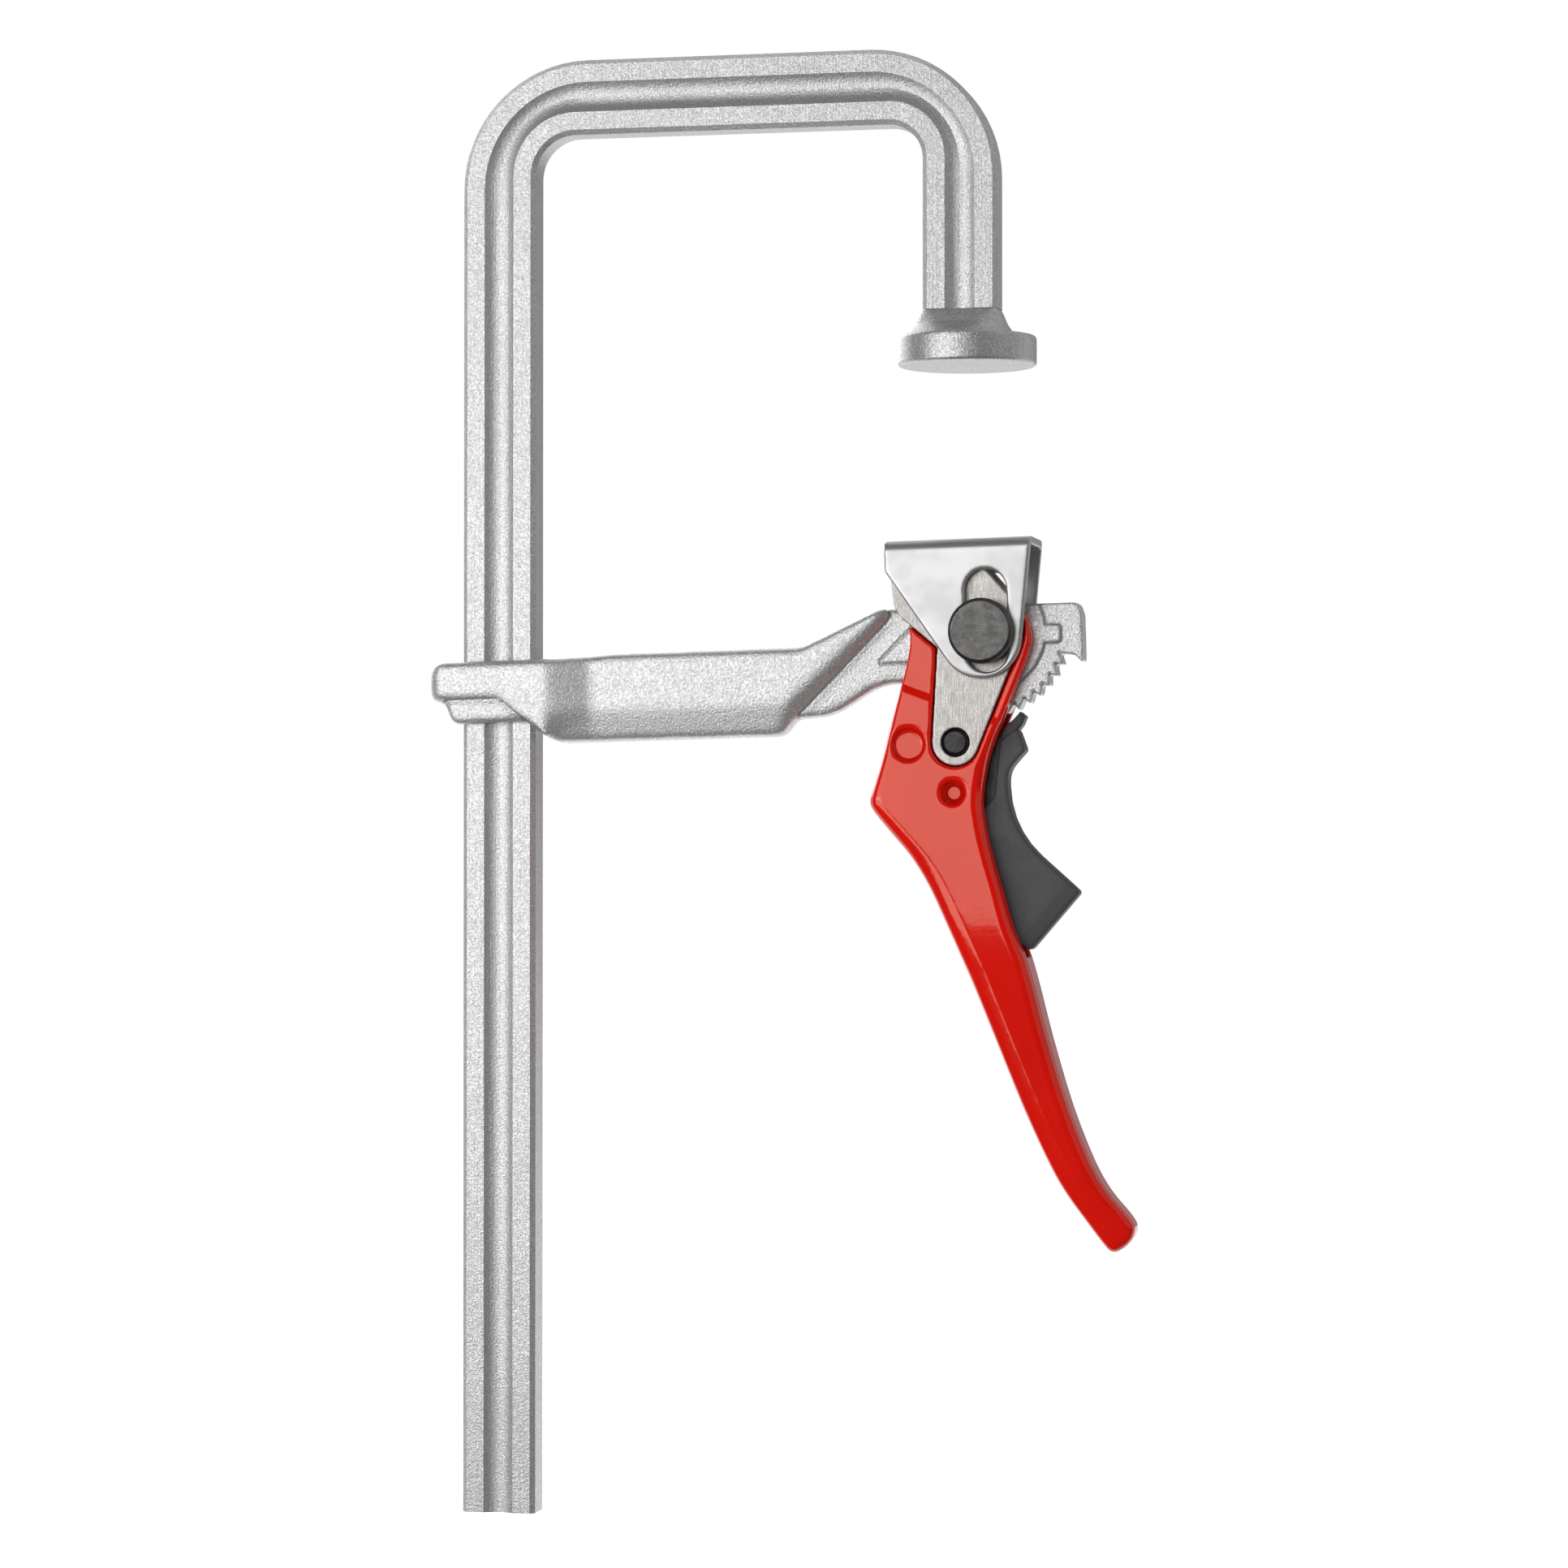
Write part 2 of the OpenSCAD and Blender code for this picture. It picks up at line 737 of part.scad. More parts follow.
module trigger_pin() {
    color("firebrick")
        arm_frame()
            plain_pin(pivot_at, trigger_pin_d, pin_end);
}

// Handle: a casting lofted along its length
// Each station is [left x, left z, right x, right z, bevel left, bevel right, half thickness]
head_shares = [
    [-0.243, 0.024, 0.132, 0.053, 0.012, 0.014, 1],
    [-0.239, -0.029, 0.150, -0.014, 0.012, 0.014, 1],
    [-0.257, -0.112, 0.138, -0.074, 0.015, 0.014, 1],
    [-0.280, -0.188, 0.103, -0.159, 0.018, 0.015, 1],
    [-0.304, -0.267, 0.056, -0.269, 0.020, 0.020, 1],
    [-0.340, -0.393, 0.009, -0.384, 0.025, 0.028, 1],
    [-0.372, -0.487, -0.011, -0.469, 0.030, 0.032, 1],
    [-0.383, -0.522, -0.017, -0.519, 0.038, 0.032, 1],
    [-0.372, -0.555, -0.017, -0.564, 0.045, 0.032, 1],
    [-0.319, -0.623, -0.004, -0.649, 0.055, 0.032, 1],
    [-0.253, -0.706, 0.016, -0.734, 0.060, 0.032, 1],
    [-0.199, -0.800, 0.038, -0.814, 0.060, 0.032, 1],
    [-0.145, -0.924, 0.068, -0.929, 0.060, 0.034, 1]
];
grip_shares = [
    [-0.110, -0.019, 0.106, -0.019, 0.063, 0.038, 0.98],
    [-0.070, -0.116, 0.134, -0.123, 0.063, 0.042, 0.94],
    [-0.004, -0.290, 0.175, -0.298, 0.063, 0.042, 0.89],
    [0.087, -0.528, 0.236, -0.519, 0.063, 0.042, 0.84],
    [0.166, -0.708, 0.304, -0.702, 0.063, 0.042, 0.80],
    [0.217, -0.801, 0.358, -0.800, 0.060, 0.042, 0.77],
    [0.282, -0.894, 0.416, -0.871, 0.050, 0.040, 0.73],
    [0.334, -0.966, 0.440, -0.912, 0.035, 0.034, 0.64],
    [0.357, -0.992, 0.432, -0.949, 0.022, 0.022, 0.50],
    [0.378, -0.994, 0.407, -0.977, 0.010, 0.010, 0.33]
];
function station(s, l, drop) = [
    l * s[0], l * s[1] - drop, l * s[2], l * s[3] - drop, l * s[4], l * s[5], s[6] * handle_t / 2
];
handle_stations = concat(
    [for (s = head_shares) station(s, head_l, 0)],
    [for (s = grip_shares) station(s, grip_l, head_l)]
);

function blend(a, b, c, d, t) =
    (2 * b + (c - a) * t + (2 * a - 5 * b + 4 * c - d) * t * t + (3 * b - a - 3 * c + d) * t * t * t) / 2;

function smooth(list, steps) = [
    for (i = [0:len(list) - 2], k = [0:steps - 1])
        blend(list[max(i - 1, 0)], list[i], list[i + 1], list[min(i + 2, len(list) - 1)], k / steps),
    list[len(list) - 1]
];

bevel_depth_share = 0.42;

function handle_ring(s, steps = 3) =
    let (
        left = [s[0], s[1]],
        right = [s[2], s[3]],
        across = unit(right - left),
        wide = norm(right - left),
        half = s[6],
        deep = bevel_depth_share * half,
        near = [
            for (i = [0:steps])
                [s[4] * (1 - cos(90 * i / steps)), half - deep * (1 - sin(90 * i / steps))]
        ],
        far = [
            for (i = [steps:-1:0])
                [wide - s[5] * (1 - cos(90 * i / steps)), half - deep * (1 - sin(90 * i / steps))]
        ],
        side = concat(near, far),
        front = [for (p = side) let (q = left + across * p.x) [q.x, -p.y, q.y]],
        back = [for (i = [len(side) - 1:-1:0]) let (q = left + across * side[i].x) [q.x, side[i].y, q.y]]
    )
    concat(front, back);

// Space between the cheeks: open above and to the right, closed by a wall on the left
fork_shares = [
    [-0.81, -0.39], [-0.34, -0.324], [-0.265, -0.324], [-0.315, -0.509], [-0.25, -0.619],
    [-0.14, -0.789], [-0.03, -0.989], [0.29, -1.289], [0.79, -0.989], [0.79, 0.611], [-0.81, 0.611]
];
sweep_r_share = 0.562;

module fork_outline() {
    intersection() {
        polygon(fork_shares * head_l);
        union() {
            translate(pivot_at)
                circle(sweep_r_share * head_l);
            translate([-head_l, -0.5 * head_l])
                square([2 * head_l, head_l]);
        }
    }
}

// Relief of the upper cheeks: everything above a slanted step
step_turn = 21.7;
step_drop_share = 0.241;

module cheek_relief() {
    slope = 2.5 * cheek_step;
    inner = cheek_out;
    profile = [
        [-step_drop_share * head_l, inner],
        [-step_drop_share * head_l - slope, handle_t / 2],
        [-step_drop_share * head_l - slope, handle_t / 2 + over],
        [head_l, handle_t / 2 + over],
        [head_l, inner]
    ];
    rotate([0, step_turn, 0])
        rotate([0, 90, 0])
            rotate([0, 0, 90])
                linear_extrude(2 * head_l, center = true)
                    polygon([for (p = profile) [p.y, p.x]]);
}

mark_shares = [-0.249, -0.348];
mark_r = 5;
mark_depth = 1.5;

module handle_recess(at, r, depth) {
    for (side = [-1, 1])
        translate([at.x, side * (handle_t / 2 - depth), at.y])
            rotate([-90 * side, 0, 0])
                cylinder(r1 = r, r2 = r + 0.3 * depth, h = depth);
}

module handle() {
    color("red")
        arm_frame()
            difference() {
                union() {
                    skin([for (s = smooth(handle_stations, 3)) handle_ring(s)]);
                    both_layers(cheek_in, pocket_floor)
                        translate(cam_body_shares * cam_hub_r)
                            circle(cam_hub_r);
                }
                slab(fork_gap)
                    fork_outline();
                both_layers(pocket_floor, handle_t)
                    cam_outline(pocket_clear);
                cheek_relief();
                mirror([0, 1, 0])
                    cheek_relief();
                handle_recess(mark_shares * head_l, mark_r, mark_depth);
                handle_recess(pivot_at, trigger_pin_d / 2 + mark_depth / 2, pin_recess);
                cross_bore([0, 0], main_pin_d / 2 + pin_clear);
                cross_bore(cam_pin_at, cam_pin_d / 2);
                cross_bore(pivot_at, trigger_pin_d / 2);
            }
}

// Pawl, drawn engaged: the locking face is an arc round its own pivot
// The arm of the pawl is given along and across the line from its pivot to the tooth, as shares
// of the locking radius, and its tail as shares of the head's length
pawl_back_shares = [[0.920, -0.040, 0.025], [0.821, -0.049, 0.061], [0.602, -0.193, 0.092]];
pawl_front_shares = [[0.560, 0.036, 0.092], [0.813, 0.078, 0.046]];
pawl_tail_shares = [[0.030, -0.489, 0.02], [0.030, -0.629, 0.03], [-0.030, -0.649, 0.03]];
pawl_hub_share = 0.068;
tooth_tip = below(tooth_r, rest_tooth);
lock_r = norm(tooth_tip - pivot_at) - nose_clear;

function pawl_arm(shares) =
    let (u = unit(tooth_tip - pivot_at))
    [
        for (s = shares)
            let (p = pivot_at + lock_r * (s.x * u + s.y * [-u.y, u.x]))
            [p.x, p.y, s[2] * lock_r]
    ];

// Point of the locking face at a given distance from the main pin
function lock_point(r) =
    let (
        reach = norm(pivot_at),
        swing = acos((r * r + reach * reach - lock_r * lock_r) / (2 * r * reach))
    )
    polar(r, atan2(pivot_at.y, pivot_at.x) + swing);

module pawl_shape() {
    nose = lock_point(root_r + 2.5 * nose_clear);
    face = lock_point(tooth_r);
    ramp = below(root_r + 4.3 * nose_clear, rest_tooth + 2.4 * tooth_fall);
    heel = below(tooth_r + 1.8 * nose_clear, rest_tooth + 1.03 * tooth_pitch);
    shoulder = turned(face, pivot_at, -1);
    hub = [pivot_at.x, pivot_at.y, pawl_hub_share * head_l];
    around = arc(hub, 60, 290);
    polygon(rounded(concat(
        [[heel.x, heel.y, nose_clear], [ramp.x, ramp.y, 0], [nose.x, nose.y, 0], [face.x, face.y, 0]],
        [[shoulder.x, shoulder.y, 0]],
        pawl_arm(pawl_back_shares),
        pawl_tail_shares * head_l,
        [for (i = [len(around) - 1:-1:0]) [around[i].x, around[i].y, 0]],
        pawl_arm(pawl_front_shares)
    )));
}

module pawl_outline() {
    translate(pivot_at)
        rotate(-pawl_lift)
            translate(-pivot_at)
                pawl_shape();
}

coil_r = trigger_pin_d / 2 + wire_d;
coil_turns = 3;
coil_pitch = 1.2 * wire_d;
coil_back = (pawl_t + fork_gap) / 4;
coil_front = coil_back - coil_turns * coil_pitch;
coil_from = 90;
notch_r = coil_r + 2.5 * wire_d;

module pawl() {
    pocket_y = coil_front - wire_d;
    color("black")
        arm_frame()
            difference() {
                slab(pawl_t)
                    pawl_outline();
                cross_bore(pivot_at, trigger_pin_d / 2 + pin_clear);
                layer(pocket_y, pawl_t)
                    translate(pivot_at)
                        circle(coil_r + wire_d);
                layer(pocket_y, pawl_t)
                    translate(pivot_at)
                        rotate(coil_from)
                            translate([0, -2 * wire_d])
                                square([notch_r + wire_d, 4 * wire_d]);
            }
}

// Trigger: moulded over the lower end of the pawl
trigger_left_shares = [
    [0.032, -0.341, 0.012], [0.010, -0.519, 0.012], [-0.070, -0.599, 0.02], [-0.040, -0.709, 0.05],
    [0.035, -0.954, 0.03]
];
trigger_low_shares = [
    [0.072, -0.979, 0], [0.114, -1.007, 0.015], [0.277, -0.826, 0.011], [0.2405, -0.792, 0]
];
trigger_right_shares = [
    [0.056, -0.619, 0.30], [0.055, -0.439, 0.08], [0.115, -0.375, 0.011], [0.090, -0.301, 0.012]
];

module trigger() {
    outline = rounded(
        concat(trigger_left_shares, trigger_low_shares, trigger_right_shares) * head_l
    );
    corner_points = round_steps + 1;
    left_bend = len(trigger_left_shares) * corner_points;
    right_bend = left_bend + 1 + 2 * corner_points;
    lowest = left_bend + corner_points;
    edge = unit(flat2(trigger_low_shares[2] - trigger_low_shares[1]));
    inwards = [-edge.y, edge.x];
    low = head_l * flat2(trigger_low_shares[1]);
    width = inwards * (outline[left_bend] - low);
    drops = [for (p = outline) trigger_edge_r * max(0, 1 - inwards * (p - low) / width)];
    fill = concat(
        band(outline, 0, len(outline) - 1, left_bend, right_bend),
        band(outline, left_bend, right_bend, lowest, lowest + 1)
    );
    color("darkslategray")
        arm_frame()
            difference() {
                rounded_plate(outline, trigger_t, trigger_edge_r, drops, fill);
                slab(pawl_t)
                    pawl_outline();
            }
}

// Pawl spring: a torsion coil round the trigger pin
function wire_ring(at, along, sides = 6) =
    let (
        t = unit(along),
        u = unit(cross(t, abs(t.y) < 0.9 ? [0, 1, 0] : [1, 0, 0])),
        v = cross(u, t)
    )
    [for (i = [0:sides - 1]) at + wire_d / 2 * (cos(360 * i / sides) * u + sin(360 * i / sides) * v)];

spring_leg_share = 0.19;

module pawl_spring() {
    coil = [
        for (i = [0:18 * coil_turns])
            let (p = polar(coil_r, coil_from + 20 * i))
            [pivot_at.x + p.x, coil_front + coil_pitch * i / 18, pivot_at.y + p.y]
    ];
    foot = polar(notch_r, coil_from);
    away = polar(spring_leg_share * head_l, coil_from + 90);
    last = coil[len(coil) - 1];
    route = concat(
        [[pivot_at.x + foot.x, coil_front, pivot_at.y + foot.y]],
        coil,
        [last + [away.x, 0, away.y]]
    );
    color("gray")
        arm_frame()
            skin([
                for (i = [0:len(route) - 1])
                    wire_ring(route[i], route[min(i + 1, len(route) - 1)] - route[max(i - 1, 0)])
            ]);
}

rail();
fixed_jaw();
sliding_arm();
pressure_plate();
main_pin();
cam_plate_front();
cam_plate_rear();
cam_pin();
handle();
pawl();
trigger();
trigger_pin();
pawl_spring();
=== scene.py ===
# %% [markdown]
# # A lever clamp, dressed for its portrait
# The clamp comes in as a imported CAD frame: thirteen steel, paint and plastic pieces that already
# sit where they belong. This notebook puts a camera where the photographer stood, gives each piece
# its finish, and sets up a small studio.

# %% Load the frame
import math

import bmesh
import bpy
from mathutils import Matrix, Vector, kdtree


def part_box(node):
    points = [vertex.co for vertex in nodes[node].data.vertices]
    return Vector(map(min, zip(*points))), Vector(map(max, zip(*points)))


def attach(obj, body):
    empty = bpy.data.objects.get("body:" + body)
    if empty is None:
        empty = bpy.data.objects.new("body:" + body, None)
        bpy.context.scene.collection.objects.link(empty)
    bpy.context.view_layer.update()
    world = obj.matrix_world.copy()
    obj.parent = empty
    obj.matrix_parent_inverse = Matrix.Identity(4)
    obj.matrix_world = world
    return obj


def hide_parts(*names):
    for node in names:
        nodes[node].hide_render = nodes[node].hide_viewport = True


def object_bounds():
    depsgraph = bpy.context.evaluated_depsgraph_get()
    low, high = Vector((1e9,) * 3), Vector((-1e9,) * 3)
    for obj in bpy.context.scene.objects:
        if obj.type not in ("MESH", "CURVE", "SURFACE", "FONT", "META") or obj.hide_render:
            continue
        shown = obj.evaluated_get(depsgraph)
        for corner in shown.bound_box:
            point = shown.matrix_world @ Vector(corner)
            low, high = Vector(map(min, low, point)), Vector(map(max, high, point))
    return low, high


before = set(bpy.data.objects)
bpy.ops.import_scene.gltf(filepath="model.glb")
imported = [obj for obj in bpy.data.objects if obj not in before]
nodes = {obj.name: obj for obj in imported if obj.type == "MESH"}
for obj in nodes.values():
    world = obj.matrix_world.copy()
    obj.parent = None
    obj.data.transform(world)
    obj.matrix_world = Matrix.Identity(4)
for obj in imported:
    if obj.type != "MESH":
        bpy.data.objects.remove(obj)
cad_box = [list(map(float, corner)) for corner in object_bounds()]
print("pieces:", ", ".join(sorted(nodes)))

MM = 0.001
scene = bpy.context.scene
scene.view_settings.view_transform = "Standard"

# %% [markdown]
# ## The camera
# The photographer used a long lens from about a metre and a half: the two long edges of the rail
# stay nearly parallel, yet the rail's right flank and the underside of the round jaw both show. A
# camera can be matched by eye or solved from known points. Here it is solved: the jaw disc, the
# rail's ends and the pin were used as landmarks, which fixes the distance, the turn and the tilt.

# %% Camera
PHOTO_SIDE = 1932
FOCAL_PIXELS = 5500
SENSOR = 36.0
CAMERA_PLACE = Vector((231.9, -1394.0, -152.9)) * MM
CAMERA_TURN = 11.8
CAMERA_TILT = 0.84

camera_data = bpy.data.cameras.new("camera")
camera_data.sensor_width = SENSOR
camera_data.lens = FOCAL_PIXELS / PHOTO_SIDE * SENSOR
camera = bpy.data.objects.new("camera", camera_data)
camera.location = CAMERA_PLACE
camera.rotation_euler = (math.radians(90 + CAMERA_TILT), 0, math.radians(CAMERA_TURN))
scene.collection.objects.link(camera)
scene.camera = camera
print(f"lens {camera_data.lens:.1f} mm at {CAMERA_PLACE.length:.2f} m")

# %% [markdown]
# ## Helpers for node trees
# Every finish below is a tree of shader nodes. Written out call by call, such a tree is long and
# hard to read, so small helpers do the typing: one adds a node with its settings, and the others
# wrap the nodes that come up again and again.

# %% Node helpers
def add(tree, kind, inputs=None, **settings):
    node = tree.nodes.new(kind)
    for key, value in settings.items():
        setattr(node, key, value)
    for key, value in (inputs or {}).items():
        if isinstance(value, bpy.types.NodeSocket):
            tree.links.new(value, node.inputs[key])
        else:
            node.inputs[key].default_value = value
    return node


def math_node(tree, operation, a, b=0.0, clamp=False):
    node = add(tree, "ShaderNodeMath", {0: a, 1: b}, operation=operation, use_clamp=clamp)
    return node.outputs[0]


def remap(tree, value, low, high, to_low=0.0, to_high=1.0, smooth=True):
    node = add(tree, "ShaderNodeMapRange", {
        "Value": value, "From Min": low, "From Max": high, "To Min": to_low, "To Max": to_high})
    node.interpolation_type = "SMOOTHSTEP" if smooth else "LINEAR"
    return node.outputs["Result"]


def mix_colour(tree, factor, a, b):
    node = add(tree, "ShaderNodeMix", data_type="RGBA")
    for socket, value in ((node.inputs[0], factor), (node.inputs[6], a), (node.inputs[7], b)):
        if isinstance(value, bpy.types.NodeSocket):
            tree.links.new(value, socket)
        else:
            socket.default_value = value
    return node.outputs[2]


def wash(tree, colour, mask, share, over):
    """Lays a second colour over the first, as far as a mask and its share of the effect allow."""
    return mix_colour(tree, math_node(tree, "MULTIPLY", mask, share), colour, over)


def grey(value, warm=0.0):
    """A grey in linear light. warm moves it towards red by that share."""
    return (value * (1 + warm), value, value * (1 - warm), 1.0)


print("node helpers ready")

# %% [markdown]
# ## Helpers for shared groups
# Some effects are needed in nearly every finish. Built anew each time they would drift apart, so
# each is a node group, made once with named sockets and placed in any tree with its own sizes.

# %% Group helpers
def new_group(name, inputs, outputs):
    """An empty node group. inputs are (name, default), outputs are names."""
    tree = bpy.data.node_groups.new(name, "ShaderNodeTree")
    for label, default in inputs:
        socket = tree.interface.new_socket(label, in_out="INPUT", socket_type="NodeSocketFloat")
        socket.default_value = default
    for label in outputs:
        tree.interface.new_socket(label, in_out="OUTPUT", socket_type="NodeSocketFloat")
    return tree, tree.nodes.new("NodeGroupInput"), tree.nodes.new("NodeGroupOutput")


def place(tree, group, **inputs):
    """Puts a group into a tree. Across_mm=0.5 sets the socket named Across mm."""
    node = add(tree, "ShaderNodeGroup", node_tree=group)
    for key, value in inputs.items():
        node.inputs[key.replace("_", " ").capitalize()].default_value = value
    return node.outputs


print("group helpers ready")

# %% [markdown]
# ## Shared effect: sprayed grain
# Blasted and zinc coated steel is covered in tiny pits and peaks, a third of a millimetre to a
# millimetre across. They could be displaced in the mesh, but that would take millions of faces.
# A noise texture in object space costs nothing, so the grain is one: fine noise for the sparkle,
# and a slow one for the clouds that a spray leaves.

# %% Grain group
PER_METRE = 1 / MM
HALFWAY = 0.5
NOISE_LOW, NOISE_HIGH = 0.3, 0.7

grain_group, grain_in, grain_out = new_group(
    "sprayed_grain", [("Fine size mm", 0.7), ("Cloud size mm", 14.0), ("Contrast", 1.0)],
    ["Grain", "Clouds"])
coords = add(grain_group, "ShaderNodeTexCoord").outputs["Object"]
fine_scale = math_node(grain_group, "DIVIDE", PER_METRE, grain_in.outputs["Fine size mm"])
cloud_scale = math_node(grain_group, "DIVIDE", PER_METRE, grain_in.outputs["Cloud size mm"])
fine = add(grain_group, "ShaderNodeTexNoise", {
    "Vector": coords, "Scale": fine_scale, "Detail": 3.0, "Roughness": 0.65}).outputs["Fac"]
cloud = add(grain_group, "ShaderNodeTexNoise", {
    "Vector": coords, "Scale": cloud_scale, "Detail": 2.0, "Roughness": 0.5}).outputs["Fac"]
centred = math_node(grain_group, "SUBTRACT", fine, HALFWAY)
stretched = math_node(grain_group, "MULTIPLY", centred, grain_in.outputs["Contrast"])
grain_group.links.new(
    math_node(grain_group, "ADD", stretched, HALFWAY, clamp=True), grain_out.inputs["Grain"])
grain_group.links.new(
    remap(grain_group, cloud, NOISE_LOW, NOISE_HIGH), grain_out.inputs["Clouds"])
print("group", grain_group.name, "with", len(grain_group.nodes), "nodes")

# %% [markdown]
# ## Shared effect: directional marks
# A rolled bar carries faint lines along its length, a blanked plate has scratches from handling,
# and a turned pin has rings. All three are noise that is stretched one way. The group squeezes the
# object's coordinates before it looks the noise up, so that each speck becomes a streak.

# %% Streak group
streak_group, streak_in, streak_out = new_group(
    "streaks", [("Across mm", 0.5), ("Along mm", 30.0), ("Upright", 1.0)], ["Streaks"])
coords = add(streak_group, "ShaderNodeTexCoord").outputs["Object"]
split = add(streak_group, "ShaderNodeSeparateXYZ", {0: coords}).outputs
across = math_node(streak_group, "DIVIDE", PER_METRE, streak_in.outputs["Across mm"])
along = math_node(streak_group, "DIVIDE", PER_METRE, streak_in.outputs["Along mm"])
upright = streak_in.outputs["Upright"]
flat_way = math_node(streak_group, "SUBTRACT", 1.0, upright)
x_scale = math_node(streak_group, "ADD", math_node(streak_group, "MULTIPLY", across, upright),
                    math_node(streak_group, "MULTIPLY", along, flat_way))
z_scale = math_node(streak_group, "ADD", math_node(streak_group, "MULTIPLY", along, upright),
                    math_node(streak_group, "MULTIPLY", across, flat_way))
squeezed = add(streak_group, "ShaderNodeCombineXYZ", {
    0: math_node(streak_group, "MULTIPLY", split[0], x_scale),
    1: math_node(streak_group, "MULTIPLY", split[1], across),
    2: math_node(streak_group, "MULTIPLY", split[2], z_scale)}).outputs[0]
lines = add(streak_group, "ShaderNodeTexNoise", {
    "Vector": squeezed, "Scale": 1.0, "Detail": 2.0, "Roughness": 0.6}).outputs["Fac"]
streak_group.links.new(
    remap(streak_group, lines, NOISE_LOW, NOISE_HIGH), streak_out.inputs["Streaks"])
print("group", streak_group.name, "with", len(streak_group.nodes), "nodes")

# %% [markdown]
# ## Shared effect: edge wear and painted highlight
# Edges are the first to lose their coat and the first to be rubbed bright, and a rounded edge also
# catches a highlight: the brightening this mask drives is partly wear and partly painted highlight.
# Pointiness would find them on a dense mesh, but it is stored at the corners of the mesh, and a
# flat face here has none but its rim's. A bevel node works on any mesh: near an edge it bends the
# normal, and how far the bent one leans from the real one is the mask. Noise breaks the mask up.

# %% Edge group
FLAT_LEAN, EDGE_LEAN = 0.995, 0.86
PATCH_SCALE = 220.0
PATCH_LOW, PATCH_HIGH = 0.4, 0.6

edge_group, edge_in, edge_out = new_group(
    "edge_wear_and_highlight", [("Reach mm", 0.7), ("Breakup", 0.5)], ["Edge"])
reach = math_node(edge_group, "MULTIPLY", edge_in.outputs["Reach mm"], MM)
bent = add(edge_group, "ShaderNodeBevel", {"Radius": reach}, samples=6).outputs["Normal"]
straight = add(edge_group, "ShaderNodeNewGeometry").outputs["Normal"]
lean = add(edge_group, "ShaderNodeVectorMath", {0: bent, 1: straight},
           operation="DOT_PRODUCT").outputs["Value"]
near_edge = remap(edge_group, lean, FLAT_LEAN, EDGE_LEAN)
coords = add(edge_group, "ShaderNodeTexCoord").outputs["Object"]
patches = add(edge_group, "ShaderNodeTexNoise", {
    "Vector": coords, "Scale": PATCH_SCALE, "Detail": 3.0}).outputs["Fac"]
broken = math_node(edge_group, "MULTIPLY", edge_in.outputs["Breakup"],
                   remap(edge_group, patches, PATCH_LOW, PATCH_HIGH))
kept = math_node(edge_group, "SUBTRACT", 1.0, broken)
edge_group.links.new(math_node(edge_group, "MULTIPLY", near_edge, kept), edge_out.inputs["Edge"])
print("group", edge_group.name, "with", len(edge_group.nodes), "nodes")

# %% [markdown]
# ## A material, its bump and its nooks
# Each finish starts from one Principled shader. Numbers that are the same all over the surface are
# set on the shader itself; only what varies is linked.
#
# The foot of a step, where shade gathers, is the opposite of an edge. A shader can't find it on
# these meshes, so it is measured once in Python, further down, from the inward edges of each solid,
# and kept on the mesh as an attribute that the finishes read to paint that shade into their colour.

# %% Material helpers
NOOK_SHADE_ATTRIBUTE = "nook"


def finish_of(name, **constants):
    material = bpy.data.materials.new(name)
    material.use_nodes = True
    tree = material.node_tree
    shader = tree.nodes["Principled BSDF"]
    for key, value in constants.items():
        shader.inputs[key.replace("_", " ")].default_value = value
    return material, tree, shader


def bump(tree, shader, height, depth_mm, strength=1.0, under=None):
    node = add(tree, "ShaderNodeBump", {
        "Height": height, "Distance": depth_mm * MM, "Strength": strength})
    if under is not None:
        tree.links.new(under, node.inputs["Normal"])
    tree.links.new(node.outputs["Normal"], shader.inputs["Normal"])
    return node.outputs["Normal"]


# Reads the inward-corner mask that the finishes use for painted shade.
def nooks(tree):
    return add(tree, "ShaderNodeAttribute", attribute_name=NOOK_SHADE_ATTRIBUTE).outputs["Fac"]


print("material helpers ready")

# %% [markdown]
# ## Zinc on rolled and forged steel
# The rail, the jaw and the arm share a coat: matt zinc over steel, silver, with a coarse sparkle.
# The bar's grain is finer than the forging's, which was blasted to clear its scale. A measured
# texture would need a photograph of a flat sample, so the coat is built from the shared effects:
# grain for tone, roughness and bump, clouds for the uneven spray, painted shade in the inward
# corners, and edges brightened partly for wear and partly as a painted highlight. It is only partly
# metallic, because so rough a coat scatters light as much as it mirrors it.

# %% Zinc finishes
ZINC_METALLIC = 0.76
DARK_GRAIN, BRIGHT_GRAIN = 0.66, 1.34
ROUGHNESS_SPREAD = 0.08


